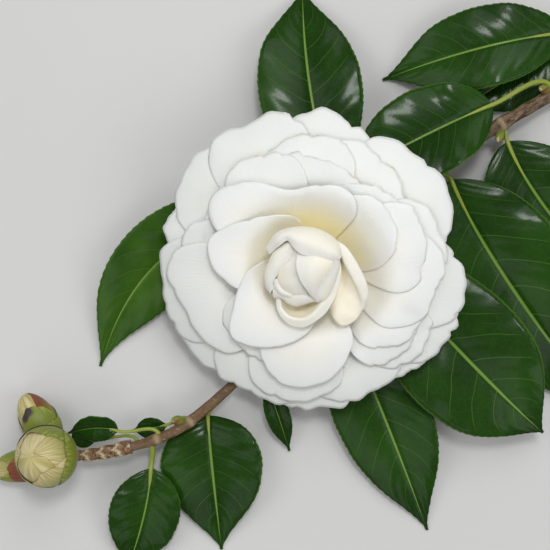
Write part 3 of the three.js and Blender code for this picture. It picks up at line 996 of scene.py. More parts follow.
LEAF_SHAPES = (
    LeafShape("leaf_upper_glossy", 0.15, 33, -12, 20,
              (73.4, 57.6, 15), (50.4, 47.0, 17), (20.3, 31.0, 16)),
    LeafShape("leaf_outer_right", 0.245, 43, -8, 14,
              (79.6, 45.6, 9.5), (97.5, 17.2, 8), (132.4, -17.4, 0.6)),
    LeafShape("leaf_long_right", 0.36, 47, -7, 12,
              (60.2, 32.4, 11), (79.9, -2.4, 9.5), (116.4, -50.0, 0.6)),
    LeafShape("leaf_lower_right", 0.5, 46, -5, 14,
              (28.6, 11.6, 9), (65.0, -28.4, 16), (91.2, -53.6, 12.5)),
    LeafShape("leaf_lower", 0.6, 34, -8, 12,
              (22.0, -12.5, 8.5), (37.2, -48.0, 8.5), (53.0, -88.7, 0.6)),
    LeafShape("leaf_top", 0.52, 37, 0, 16,
              (19.0, 31.5, 11), (11.8, 65.1, 11), (9.6, 99.5, 0.6)),
    LeafShape("leaf_left", 0.56, 30, 13, 12,
              (-1.5, 20.5, 9), (-38.8, 5.6, 8), (-60.8, -31.7, 0.6), LeafTone.FRESH),
    LeafShape("leaf_corner", 0.06, 25, 0, 12,
              (104.0, 82.0, 3.4), (84.0, 70.0, 2.8), (65.0, 58.0, 1.6)),
    LeafShape("leaf_far_top", 0.1, 29, -6, 12,
              (99.5, 83.0, 9.5), (70.0, 77.4, 11.5), (37.6, 68.0, 0.6)),
    LeafShape("leaf_narrow", 0.75, 9, 0, 18,
              (-2.4, -38.5, 7.8), (1.0, -48.1, 7.2), (5.0, -61.0, 1.6)),
    LeafShape("leaf_beside_bud", 0.985, 7, 0, 18,
              (-62.0, -56.8, 8.5), (-66.6, -56.0, 5.5), (-69.8, -52.6, 1)),
    LeafShape("leaf_shoot_upper", 0.95, 11, 30, 14,
              (-53.5, -53.0, 13.2), (-61.2, -52.0, 13.2), (-70.6, -54.0, 10.6)),
    LeafShape("leaf_shoot_small", 0.9, 8, 10, 16,
              (-37.4, -51.4, 9.5), (-42.8, -52.5, 8), (-48.8, -53.4, 6.5)),
    LeafShape("leaf_shoot_lower", 0.966, 25, 8, 12,
              (-42.6, -66.4, 8.6), (-45.0, -82.4, 8), (-51.6, -103.0, 0.6)),
    LeafShape("leaf_shoot_broad", 0.84, 36, -6, 12,
              (-23.2, -48.6, 5.2), (-21.6, -66.0, 7.2), (-18.6, -95.5, 0.6)),
)


@dataclass
class Leaf:
    """One leaf: a toothed blade with sunken veins, its midrib and its stalk.

    Places along the blade go from 0 at its base to 1 at its tip, and places across it from 1 at its
    right margin, seen from its base, to -1.
    """

    shape: LeafShape
    twig: Twig
    seed: int
    thick: float = 0.5
    margin_thin: float = 0.35      # how much thinner the margins are, as a part of that
    belly: float = 0.93            # the lower, the nearer to the tip the blade is widest
    fullness: float = 0.68         # the lower, the fuller the outline
    tip_leanness: float = 0.5      # how much leaner it gets
    tip_from: float = 0.62
    tip_half: float = 0.22         # half the width that the very tip keeps
    margin_drop: float = 0.16      # how far the margins bend back down, as a part of the half width
    margin_waves: tuple[tuple[float, float, float], ...] = ((0.035, 15, 1.4), (0.02, 29, -1.0))
    pillow: float = 0.015          # rise between two side veins, as a part of the width
    greatest_pillow: float = 0.26
    groove_depth: float = 0.32     # of the midrib's groove
    groove_width: float = 0.9
    tooth_pitch: float = 2.5
    tooth_depth: float = 0.32
    full_tooth_width: float = 20   # blades narrower than this have smaller teeth
    first_teeth: tuple[float, float] = (0.03, 0.12)  # where they grow in
    last_teeth: tuple[float, float] = (1.0, 0.93)    # where they end
    tooth_reach: float = 6         # the power by which they fade from the margin inwards
    rows_per_mm: float = 1.7
    least_rows: int = 40
    columns: int = 16              # on each side of the midrib
    stalk_radius: float = 1.0
    stalk_root: float = 0.6        # where the stalk starts in the twig, as a part of its radius
    stalk_bend: float = 0.35       # how far its ends run straight, as a part of its reach
    stalk_share: float = 4 / 13    # of the leaf's bend, up to the blade's base
    stalk_flare: float = 0.5       # how much wider it is at its foot, as a part of its radius
    flare_length: float = 0.06     # as a part of the stalk's
    rib_end: float = 0.93          # where the midrib ends on the blade
    rib_size: float = 0.75         # its radius at the blade's base, as a part of the stalk's
    rib_taper: float = 1.4         # the power by which that falls towards the tip
    rib_least: float = 0.1
    rib_depth: float = 0.3         # of its middle under the blade, beyond its own radius
    solid_thick: float = 0.95      # of the CAD leaf, whose lowest point rests on the surface
    solid_least_half: float = 0.45
    solid_sections: int = 10

    def __post_init__(self) -> None:
        """Draws the blade's and the stalk's centre lines."""
        midrib = (self.shape.base, self.shape.middle, self.shape.tip)
        base, middle, tip = (np.array(point, float) for point in midrib)
        self.blade = [base, 2 * middle - 0.5 * (base + tip), tip]
        axis, along = self.twig.curve.at(self.shape.at), self.twig.curve.tangent(self.shape.at)
        away = base - axis
        away = unit(away - along * (away @ along))
        foot = axis + away * self.twig.radius(self.shape.at) * self.stalk_root
        straight = self.stalk_bend * np.linalg.norm(base - foot)
        into_blade = unit(self.blade[1] - base)
        self.stalk = [foot, foot + away * straight, base - into_blade * straight, base]
        self.length = float(np.linalg.norm(tip - base))

    def half_width(self, t: Array, least: float) -> Array:
        """Half the blade's width.

        Args:
            t: places along the blade.
            least: what it doesn't fall below.

        Returns:
            Half the width at each place.
        """
        body = np.maximum(np.sin(math.pi * t**self.belly), 0)
        outline = body ** (self.fullness + self.tip_leanness * smooth_step(self.tip_from, 1.0, t))
        return np.maximum(self.shape.width / 2 * outline, least)

    def section(self, t: Array) -> tuple[Array, Array, Array]:
        """How the blade lies at places along it.

        Args:
            t: the places.

        Returns:
            The midrib's points, with the directions to the blade's right and out of its face.
        """
        centre = bezier(self.blade, t)
        tangent = unit(np.gradient(centre, axis=0))
        level, over = across(tangent)
        roll = np.radians(self.shape.roll) * np.minimum(1, 3 * t)[:, None]
        side = level * np.cos(roll) + over * np.sin(roll)
        return centre, side, np.cross(side, tangent)

    def bend_at(self, t: Array) -> Array:
        """The part of the tip's fall that the leaf takes at places along the blade or stalk."""
        return (self.stalk_share + (1 - self.stalk_share) * t) ** 2

    def settle(self, points: Array, t: Array, fall: float) -> Array:
        """Bends the leaf towards its tip by the fall that its resting solid takes.

        Args:
            points: rows of points along the leaf.
            t: each row's place along the blade, below 0 on the stalk.
            fall: of the tip.

        Returns:
            The points, bent down.
        """
        bent = points.copy()
        bent[..., 2] -= fall * self.bend_at(t)[:, None]
        return bent

    def fall(self) -> float:
        """Works out how far the tip falls before the solid's lowest point rests on the surface.

        Returns:
            The fall, which is 0 for a leaf whose tip is laid clear of the surface.
        """
        if self.shape.tip[2] >= 1:
            return 0.0
        t = np.linspace(0, 1, self.solid_sections)
        centre, side, out = self.section(t)
        half = self.half_width(t, self.solid_least_half)
        fold = math.radians(self.shape.fold)
        rise = out * (half * (math.sin(fold) - self.margin_drop) - self.solid_thick / 2)[:, None]
        reach = side * (half * math.cos(fold))[:, None]
        middle = centre - out * (self.solid_thick * (0.95 - 0.45 * t))[:, None]
        rows = (middle, centre - reach + rise, centre + reach + rise)
        return float(min((row[:, 2] / self.bend_at(t)).min() for row in rows))

    def face_height(self, t: Array, u: Array, x: Array, half: Array) -> Array:
        """The relief of the blade's face: its fold, waving margins, veins and midrib groove.

        Args:
            t: places along the blade, in a column.
            u: places across it, in a row.
            x: each point's distance from the midrib.
            half: half the width at each place along, in a column.

        Returns:
            The height of each point.
        """
        aside, hand = np.abs(u), np.where(u > 0, 1.0, -1.0)
        z = half * (math.sin(math.radians(self.shape.fold)) * aside - self.margin_drop * aside**2)
        phases = np.random.default_rng(self.seed).uniform(0, ANY_PHASE, len(self.margin_waves))
        for (height, waves, lag), phase in zip(self.margin_waves, phases):
            z = z + half * height * aside**2 * np.sin(waves * t + phase + lag * hand)
        sweep = LEAF_VEIN_SWEEP * aside**LEAF_VEIN_BEND
        veins = (t - sweep) * LEAF_SIDE_VEINS + LEAF_VEIN_STAGGER * hand
        near_vein = np.abs((veins + 0.25) % 1.0 - 0.5) * 2
        pillow = min(self.greatest_pillow, self.pillow * self.shape.width)
        z += pillow * (1 - near_vein**3) * aside**0.5 * (1 - aside**4)
        return z - self.groove_depth * bell(x, self.groove_width) * (1 - 0.6 * t)

    def blade_patch(self, fall: float) -> Patch:
        """The blade as a thin shell.

        Args:
            fall: of the tip.

        Returns:
            The blade, bent down, in the drawing.
        """
        t = np.linspace(0.0, 1.0, max(self.least_rows, round(self.length * self.rows_per_mm)))
        k = np.linspace(1, -1, 2 * self.columns + 1)
        u = (np.sign(k) * np.abs(k) ** 1.35)[None, :]
        centre, side, out = self.section(t)
        saw = (t * self.length / self.tooth_pitch) % 1.0 - 0.5
        depth = self.tooth_depth * min(1.0, self.shape.width / self.full_tooth_width)
        tooth = depth * saw * smooth_step(*self.first_teeth, t) * smooth_step(*self.last_teeth, t)
        half = self.half_width(t, self.tip_half)[:, None]
        reach = half + tooth[:, None] * np.abs(u) ** self.tooth_reach
        x = u * reach * math.cos(math.radians(self.shape.fold))
        z = self.face_height(t[:, None], u, x, half) + self.thick / 2
        top = centre[:, None] + side[:, None] * x[..., None] + out[:, None] * z[..., None]
        chart = np.stack(np.broadcast_arrays(u, t[:, None]), -1)
        thick = np.broadcast_to(self.thick * (1 - self.margin_thin * np.abs(u) ** 3), x.shape)
        return shell(self.settle(top, t, fall), thick, chart, np.zeros(x.shape), (0, 1))

    def rib_patch(self, fall: float) -> Patch:
        """The stalk, running on under the blade as its midrib.

        Args:
            fall: of the tip.

        Returns:
            The stalk and midrib, bent down, in the drawing.
        """
        s, t = np.linspace(0, 1, 26)[:-1], np.linspace(0, self.rib_end, 60)
        centre, _, out = self.section(t)
        radius = self.stalk_radius * min(1.0, 0.45 + self.shape.width / 40)
        rib = radius * self.rib_size * (1 - t) ** self.rib_taper + self.rib_least
        under = centre - out * ((rib + self.rib_depth) * smooth_step(-0.02, 0.4, t))[:, None]
        line = np.concatenate([bezier(self.stalk, s), under])
        flare = 1 + self.stalk_flare * np.exp(-s / self.flare_length)
        radii = np.concatenate([radius * (0.98 - 0.2 * s) * flare, rib])
        where = np.concatenate([(s - 1) * self.stalk_share / (1 - self.stalk_share), t])
        rings = self.settle(limb(line, radii, 12), where, fall)
        return tube(rings, np.zeros(rings.shape[:2]), (2, 2))

    def build(self, finishes: list[Material]) -> None:
        """Makes the leaf's mesh and dresses it.

        Args:
            finishes: of the blade's face, its underside, and the stalk and midrib.
        """
        fall = self.fall()
        patches = [self.blade_patch(fall), self.rib_patch(fall)]
        make_piece(f"veined_{self.shape.name}", patches, finishes, (self.shape.name,))


# ---------------------------------------------------------------- petals
@dataclass(frozen=True)
class Petal:
    """A petal that lies in the bloom's dome.

    heading and spread are in degrees, spread from its middle to each side. depth counts the layers
    above it, and rim holds its reach from the axis at even steps across. Inside its shoulder it
    falls away to its root. lip is the length of its rolled edge and turn the bend of that, outward
    where it is positive. glow is how warm its foot is: how far it takes the foot colour, a real
    cream deepened into a painted glow of light shining through the petal. warm is how far that
    reaches from the axis.
    """

    TOP: ClassVar[float] = 23.2             # of the dome, above the bloom's foot
    CROWN: ClassVar[float] = 22             # the radius inside which the dome is level
    FALL: ClassVar[float] = 0.0125          # of the dome outside that
    FALL_POWER: ClassVar[float] = 1.9
    LAYER: ClassVar[float] = 0.75           # from each layer of the dome to the next
    SHOULDERS: ClassVar[tuple[float, float]] = (14, 2.9)  # at the top, and further out each layer
    LOWEST_FOOT: ClassVar[float] = 0.5
    FOOT_STEP: ClassVar[float] = 0.8        # from the foot of each layer to the next
    LAYERS: ClassVar[int] = 9
    ROUNDING: ClassVar[float] = 1.2         # of the shoulder
    RAGGED: ClassVar[tuple[float, float]] = (0.7, 0.17)   # at the top, and more each layer
    RIM_WAVES: ClassVar[tuple[tuple[float, float], ...]] = ((0.2, 9), (0.13, 21))
    NOTCHES: ClassVar[int] = 2
    NOTCH_DEPTH: ClassVar[float] = 0.5
    NOTCH_WIDTH: ClassVar[float] = 0.035
    CORNER: ClassVar[float] = 0.26          # how much shorter the petal is at its side corners

    heading: float
    spread: float
    depth: float
    rim: tuple[float, ...]
    shoulder: float = 0.0
    lip: float = 1.8
    turn: float = 16.0
    wave: float = 0.25
    glow: float = 0.3
    warm: float = 20.0
    root: float = 6.0

    def bowl(self) -> Array:
        """The outline that the petal follows: a flank up to its shoulder, and then the dome.

        Returns:
            Rows of radius and height.
        """
        radius = np.linspace(self.root, max(self.rim) + 1, 160)
        fall = self.FALL * np.maximum(radius - self.CROWN, 0) ** self.FALL_POWER
        dome = self.TOP - fall - self.depth * self.LAYER
        shoulder = self.shoulder or self.SHOULDERS[0] + self.SHOULDERS[1] * self.depth
        foot = self.LOWEST_FOOT + (self.LAYERS - self.depth) * self.FOOT_STEP
        rise = (np.interp(shoulder, radius, dome) - foot) / (shoulder - self.root)
        sides = (foot + rise * (radius - self.root), dome)
        lower = -self.ROUNDING * np.log(sum(np.exp(-side / self.ROUNDING) for side in sides))
        return np.stack([radius, lower], -1)

    def ragged_rim(self, s: Array, seed: int) -> tuple[Array, Array]:
        """How the petal's rim waves and where it is notched.

        Args:
            s: places across, from -1 to 1.
            seed: of the waves' phases and the notches' places.

        Returns:
            The length that each place gains, and the phases of the two waves.
        """
        rng = np.random.default_rng(seed)
        phases = rng.uniform(0, ANY_PHASE, len(self.RIM_WAVES))
        waves = sum(height * np.sin(count * s + phase)
                    for (height, count), phase in zip(self.RIM_WAVES, phases))
        for notch in rng.uniform(-0.7, 0.7, self.NOTCHES):
            waves = waves - self.NOTCH_DEPTH * bell(s - notch, self.NOTCH_WIDTH)
        return waves * (self.RAGGED[0] + self.RAGGED[1] * self.depth), phases

    def surface(self, rows: int, columns: int, seed: int) -> Array:
        """The petal's upper side, with a seeded unevenness.

        Args:
            rows: of squares along it.
            columns: of squares across it.
            seed: of the unevenness.

        Returns:
            Rows and columns of points about the bloom's axis.
        """
        s = np.sin(np.linspace(-math.pi / 2, math.pi / 2, columns + 1))
        t = np.linspace(0, 1, rows + 1)[:, None] ** 0.9
        line = self.bowl()
        length = np.concatenate([[0], np.cumsum(np.linalg.norm(np.diff(line, axis=0), axis=1))])
        ragged, (a, b) = self.ragged_rim(s, seed)
        end = np.interp(spread_evenly(self.rim, s), line[:, 0], length) + ragged
        end *= 1 - self.CORNER + self.CORNER * np.sqrt(np.maximum(1 - np.abs(s) ** 8, 0))
        at = t * end
        body = np.minimum(at, end - self.lip)
        radius, height = (np.interp(body, length, column) for column in line.T)
        slope = np.interp(body, length, np.arctan2(*np.gradient(line, axis=0).T[::-1]))
        roll = at - body
        bend = math.radians(self.turn) * roll / self.lip
        chord = roll * np.sinc(bend / (2 * math.pi))
        radius = radius + chord * np.cos(slope - bend / 2)
        height = height + chord * np.sin(slope - bend / 2)
        height += self.wave * t**3 * (0.6 * np.sin(5.1 * s + a) + 0.4 * np.sin(9.7 * s + b))
        height += self.wave * 0.5 * t**2 * np.sin(3.0 * s + 4.0 * t + b)
        angle = np.radians(self.heading + s * self.spread)
        return np.stack([radius * np.cos(angle), radius * np.sin(angle), height], -1)

    def cream_and_glow(self, points: Array) -> Array:
        """How far each point takes the foot's colour, cream with a painted glow, most near the
        axis.
        """
        radius = np.hypot(points[..., 0], points[..., 1])
        return self.glow * (1 - smooth_step(self.warm * 0.5, self.warm, radius))


@dataclass(frozen=True)
class FoldedPetal:
    """A petal of the heart, stretched smoothly over lines that run across it, foot first.

    Each line has as many (x, y, z) points as the others, about the bloom's axis and anticlockwise
    round it. gather draws the first line in to make the petal's foot, at the height root. The
    foot's colour, a cream with a painted glow of light that is strongest low in the heart, gives
    way between the two heights of fade.
    """

    lines: tuple[tuple[Point, ...], ...]
    gather: float = 0.55
    root: float = 13.0
    crumple: float = 0.1
    glow: float = 0.6
    least_glow: float = 0.02
    fade: tuple[float, float] = (13, 25)

    def surface(self, rows: int, columns: int, seed: int) -> Array:
        """The petal's upper side, with a seeded unevenness.

        Args:
            rows: of squares along it.
            columns: of squares across it.
            seed: of the unevenness.

        Returns:
            Rows and columns of points about the bloom's axis.
        """
        lines = [Spline(line).at(np.linspace(0, 1, columns + 1)) for line in self.lines]
        foot = lines[0] * (self.gather, self.gather, 0) + (0, 0, self.root)
        strands = np.stack([foot, *lines], axis=1)
        t = np.linspace(0, 1, rows + 1) ** 0.7
        points = np.stack([Spline(strand).at(t) for strand in strands], 1)
        return points + self.crumple * Ripple(seed, 7.0).at(points)[..., None] * UP

    def cream_and_glow(self, points: Array) -> Array:
        """How far each point takes the foot's colour, cream with a painted glow, most where it lies
        low.
        """
        return self.least_glow + self.glow * (1 - smooth_step(*self.fade, points[..., 2]))


OUTER_PETALS = (
    Petal(113, 26, 7.4, (43, 48.6, 51.4, 51.6, 50.8, 51.6, 52.4, 51, 46)),
    Petal(143, 26, 8.0, (43, 48, 51.3, 52.6, 52.6, 52.1, 50.2, 47.5, 42)),
    Petal(168, 16, 8.6, (45, 48, 50.1, 51.2, 51.4, 49.9, 47.6, 45, 42)),
    Petal(193, 27, 7.8, (44, 50, 52.2, 52.4, 52.8, 53.8, 54, 51.6, 45)),
    Petal(219, 22, 8.8, (45, 49.5, 52.6, 53.8, 53.8, 52.8, 50.6, 48, 43)),
    Petal(244, 26, 7.6, (43, 48.5, 51.8, 50.8, 51, 50.4, 50.8, 48.6, 44)),
    Petal(268, 24, 8.3, (43, 48, 50.5, 50.8, 51.2, 49.9, 50.6, 48.2, 44)),
    Petal(294, 26, 7.6, (42, 46.5, 48.2, 48.6, 47.8, 47.7, 46.6, 44.6, 41)),
    Petal(318, 18, 9.2, (45, 47, 48.4, 49.2, 49.5, 48.8, 47.6, 45.5, 42)),
    Petal(331, 22, 8.6, (44, 47.2, 49.8, 51, 51.6, 51.8, 51, 48.2, 43)),
    Petal(353, 24, 7.7, (43, 47.8, 50.6, 51.7, 51.2, 49.8, 47.8, 45.2, 41)),
    Petal(36, 35, 8.2, (39, 44.5, 48.8, 51.4, 51.8, 50.4, 50.5, 48.4, 43)),
    Petal(84, 26, 9.0, (42, 46.2, 48.6, 49.8, 51.5, 50.6, 48.8, 46, 42)),
)

MIDDLE_PETALS = (
    Petal(200, 34, 5.4, (40, 46.5, 49.2, 48, 46.2, 45.7, 45, 43, 37)),
    Petal(178, 27, 6.2, (37, 40, 43, 44, 44.5, 44, 42, 39.5, 36)),
    Petal(262, 28, 6.0, (39, 44, 47.4, 48, 47.6, 46.6, 44.5, 41.5, 37)),
    Petal(322, 22, 6.8, (38, 42, 44.9, 46.2, 46.2, 45.8, 44.9, 42.5, 39)),
    Petal(16, 26, 5.6, (38, 41.4, 44.8, 45.4, 44.4, 44, 43.6, 40.6, 37)),
    Petal(56, 28, 6.6, (36, 38.9, 41.2, 42.4, 43.2, 44.1, 44.6, 43, 39)),
    Petal(90, 28, 6.0, (38, 41, 43.3, 43.9, 43.8, 43.1, 41.7, 39.6, 36)),
    Petal(148, 30, 6.6, (33, 36, 38, 39, 39, 38, 37, 35, 32)),
    Petal(117, 28, 4.9, (34, 37.5, 39, 39.9, 41.2, 41.3, 40.6, 38, 34), wave=0.3),
    Petal(82, 28, 5.3, (32, 34, 35.2, 35.8, 36.4, 37.4, 38.4, 37.4, 34), wave=0.3),
    Petal(46, 26, 4.7, (32, 35.5, 37, 37.3, 36.4, 35.1, 33.4, 31.6, 29), wave=0.25, shoulder=29),
    Petal(232, 32, 4.6, (30, 33, 35, 36, 36, 36, 35, 33, 30)),
    Petal(318, 22, 5.6, (36, 38.8, 40.4, 41.4, 41.7, 41.7, 41.3, 39.6, 36), wave=0.25),
)

INNER_PETALS = (
    Petal(329, 26, 4.3, (31, 34, 37, 39.6, 40.5, 40.4, 39.6, 37.6, 34), wave=0.25, shoulder=30),
    Petal(352, 30, 3.8, (34, 37, 40.6, 41.6, 42.4, 44.2, 44.2, 41.8, 38), wave=0.25, shoulder=29),
    Petal(16, 30, 3.1, (34, 36.4, 37.4, 39, 39.7, 40.1, 40.2, 37, 32), shoulder=28),
    Petal(268, 40, 2.4, (25, 31.5, 37.5, 40.9, 40.6, 38.2, 34.6, 30.5, 27), shoulder=22),
    Petal(33, 39, 2.2, (18.6, 24.2, 29.2, 31.8, 33, 33.6, 31.5, 28, 24), shoulder=28,
          glow=0.8, warm=25),
    Petal(104, 56, 1.5, (28, 30.6, 29.2, 27.4, 27.4, 33, 38, 39.9, 34), shoulder=27,
          lip=2.8, turn=34, glow=1.0, warm=25),
    Petal(150, 52, 0.8, (18.6, 20.3, 22, 25, 29.5, 33.6, 31.8, 27, 21), shoulder=20,
          glow=0.35, warm=24),
    Petal(222, 62, 0.0, (11.6, 17.4, 22.2, 27.2, 34, 30.6, 25.8, 21, 16.6), shoulder=17, glow=0.2),
)

HEART_PETALS = (
    FoldedPetal((  # the folded petal at the right
        ((10.4, -16.6, 23.6), (9.1, -14.6, 23.8), (8.6, -11.2, 24), (8.7, -7.0, 23.6),
         (9.0, -2.8, 23), (9.3, 1.7, 22.5), (9.5, 5.8, 22)),
        ((13.2, -16.9, 23.8), (13.5, -13.9, 24.6), (13.6, -10.2, 24.8), (13.1, -6.0, 24.4),
         (12.2, -1.9, 23.8), (11.2, 2.5, 23.2), (10.2, 6.3, 22.5)),
        ((16.3, -14.8, 24.2), (17.3, -10.7, 25.2), (17.1, -7.0, 25.6), (15.9, -3.3, 25.8),
         (14.3, 0.1, 26), (12.6, 3.9, 26), (11.1, 7.3, 25.5)),
        ((18.4, -11.7, 24.8), (19.3, -7.7, 26.4), (18.2, -4.3, 27.6), (16.5, -1.1, 28.3),
         (14.9, 2.6, 28.7), (12.9, 6.5, 28.9), (11.1, 9.6, 28.6)),
        ((20.0, -9.5, 24.4), (20.8, -5.3, 26.4), (20.2, -1.5, 27.4), (18.7, 2.2, 28),
         (16.8, 6.0, 28.4), (14.0, 10.0, 28.5), (11.1, 12.0, 28.4)),
        ((19.5, -9.8, 23.4), (20.0, -5.8, 24.6), (19.3, -2.0, 25.4), (17.8, 1.5, 26),
         (15.9, 5.3, 26.4), (13.0, 8.9, 26.5), (10.6, 11.1, 26.4)),
    )),
    FoldedPetal((  # the cup
        ((-7.4, -9.0, 24), (-7.1, -11.0, 24), (-5.5, -12.7, 24), (-3.2, -13.6, 24.4),
         (-0.8, -13.4, 24.8), (1.9, -11.7, 25.2), (4.5, -8.7, 25.6), (6.8, -4.7, 25.8),
         (8.3, -0.7, 25.8), (9.0, 2.8, 25.8), (8.4, 6.0, 25.8)),
        ((-7.7, -7.9, 26.8), (-7.6, -10.4, 26.8), (-6.0, -12.9, 26.8), (-3.4, -14.2, 27),
         (-0.4, -14.2, 27.3), (3.0, -12.1, 27.7), (5.6, -8.8, 28), (8.0, -4.5, 28.2),
         (9.7, -0.2, 28.3), (10.5, 3.4, 28.3), (9.7, 6.6, 28.3)),
        ((-9.2, -7.7, 26.6), (-9.0, -11.3, 26.6), (-7.1, -14.8, 26.4), (-4.2, -17.0, 26.2),
         (-0.6, -17.3, 26.4), (3.1, -15.4, 26.8), (6.8, -12.3, 27.2), (9.8, -7.4, 27.6),
         (11.6, -2.3, 27.8), (12.3, 2.6, 27.8), (11.7, 6.2, 27.8)),
    )),
    FoldedPetal((  # the hood
        ((12.1, 7.0, 27), (11.7, 10.1, 28), (8.6, 13.4, 28.6), (3.9, 15.5, 29), (-0.9, 16.0, 29),
         (-4.4, 15.5, 28.8), (-8.1, 13.9, 28.4), (-11.6, 8.9, 27.4)),
        ((12.3, 6.6, 30), (10.8, 8.8, 31.6), (6.8, 11.1, 32.8), (2.1, 12.9, 33.2),
         (-1.7, 14.0, 33), (-4.6, 14.5, 32.4), (-7.5, 12.7, 31.8), (-11.0, 8.5, 29.4)),
        ((11.7, 5.7, 29.6), (8.7, 5.3, 31.4), (4.3, 7.0, 32.8), (0.0, 8.6, 33),
         (-2.4, 10.7, 32.6), (-4.0, 12.5, 32.2), (-6.5, 10.8, 31.6), (-10.5, 7.2, 29)),
    )),
    FoldedPetal((  # the rolled petal at the left
        ((-1.5, 13.3, 28.2), (-5.5, 11.6, 28.6), (-8.4, 9.0, 28.8), (-10.3, 5.3, 28.8),
         (-11.8, 1.9, 28.4), (-12.2, -1.1, 28), (-11.9, -3.9, 27.4), (-10.4, -6.1, 27)),
        ((0.2, 12.6, 30.2), (-3.5, 11.2, 31), (-5.8, 8.6, 31.2), (-7.6, 5.6, 31.2),
         (-9.1, 2.8, 31), (-10.3, 0.0, 30.4), (-10.8, -2.5, 29.6), (-10.1, -4.7, 28.6)),
        ((0.6, 10.4, 30), (-1.6, 9.4, 30.6), (-2.8, 6.8, 30.6), (-5.0, 4.6, 30.8),
         (-6.8, 2.4, 30.6), (-8.4, 0.1, 30.2), (-9.5, -1.8, 29.6), (-9.0, -3.8, 28.8)),
    )),
    FoldedPetal((  # the cone's left flank
        ((-2.5, 10.0, 29), (-3.8, 6.1, 30), (-6.3, 3.1, 30), (-8.2, -0.4, 28.8),
         (-7.0, -4.0, 28.4), (-4.2, -5.8, 28.2), (-1.0, -6.0, 28.4), (1.6, -5.8, 28.6)),
        ((-1.0, 11.0, 29.6), (-1.0, 8.4, 31.8), (-1.0, 6.2, 32.8), (-0.8, 4.0, 33.4),
         (-0.4, 2.0, 33.2), (0.2, 0.4, 33), (1.0, -1.4, 32.4), (2.0, -3.2, 31)),
    )),
    FoldedPetal((  # the cone's broad face
        ((3.7, -7.1, 29), (5.6, -3.3, 29.4), (7.8, 0.1, 29.7), (9.6, 2.9, 29.8),
         (10.7, 6.0, 29.8), (9.6, 9.6, 28.8)),
        ((3.6, -5.9, 31), (4.0, -1.1, 33.4), (4.8, 2.5, 34), (5.5, 5.2, 33.7), (5.8, 7.7, 32.4),
         (5.2, 11.0, 29.6)),
        ((3.2, -6.2, 30.5), (1.4, -2.5, 33.2), (-0.1, 0.6, 34.2), (-1.0, 3.6, 34.3),
         (-1.2, 6.4, 33.4), (-0.8, 11.2, 29.6)),
    )),
    FoldedPetal((  # the cone's right flank
        ((4.3, -8.3, 27.4), (6.9, -7.3, 27.8), (9.1, -3.7, 28.2), (10.6, 0.3, 28.4),
         (11.7, 4.4, 28.6), (11.3, 7.6, 28.2)),
        ((3.8, -6.0, 31.2), (5.5, -2.1, 31.8), (7.6, 1.1, 31.9), (9.4, 3.7, 31.8),
         (10.7, 6.7, 31.4), (10.1, 9.7, 30.8)),
    )),
    FoldedPetal((  # a small fold between them
        ((-9.8, -1.4, 28.2), (-9.3, -4.0, 27.6), (-7.2, -6.2, 27.8), (-4.0, -7.2, 28)),
        ((-8.8, -0.6, 30), (-8.1, -3.4, 29.8), (-6.3, -5.2, 29.9), (-3.5, -6.0, 29.8)),
        ((-7.6, 0.0, 29.8), (-7.0, -3.0, 29.5), (-5.2, -4.6, 29.5), (-3.0, -5.0, 29.3)),
    )),
    FoldedPetal((  # the crumpled petal under the cone
        ((-9.7, -7.4, 26.4), (-6.5, -7.8, 27), (-4.9, -9.1, 27.2), (-2.6, -9.8, 27.4),
         (-0.3, -9.2, 27.4), (2.3, -8.3, 27.4), (5.6, -7.9, 27.4)),
        ((-9.8, -4.9, 28.6), (-6.8, -5.9, 29), (-4.7, -6.9, 29.2), (-2.2, -7.2, 29.6),
         (0.1, -6.6, 29.8), (2.5, -6.4, 29.4), (5.1, -7.0, 28.6)),
        ((-9.4, -3.2, 28.8), (-7.1, -4.4, 29), (-4.8, -5.3, 29.2), (-2.2, -5.3, 29.4),
         (0.1, -4.9, 29.6), (2.4, -5.0, 29.4), (4.5, -6.3, 28.6)),
    )),
)


@dataclass(frozen=True)
class Whorl:
    """Petals that share a finish and make one piece, and how many squares each has."""

    name: str
    petals: tuple[Petal | FoldedPetal, ...]
    finish: PetalFinish
    rows: int
    columns: int


# The whites step a little darker from the heart out to the outer whorl as painted shade; the inner
# and heart petals' bodies are brighter and warmer than their rims, partly real cream and partly a
# painted glow in the bloom's depths.
WHORLS = (
    Whorl("outer_petals", OUTER_PETALS, PetalFinish("outer_petal"), 30, 44),
    Whorl("middle_petals", MIDDLE_PETALS,
          PetalFinish("middle_petal", rim=(0.84, 0.85, 0.81), body=(0.865, 0.865, 0.805)), 30, 44),
    Whorl("inner_petals", INNER_PETALS,
          PetalFinish("inner_petal", rim=(0.84, 0.85, 0.82), body=(0.91, 0.885, 0.80)), 40, 64),
    Whorl("heart_petals", HEART_PETALS,
          PetalFinish("heart_petal", rim=(0.85, 0.84, 0.77), body=(0.95, 0.885, 0.72)), 60, 72),
)


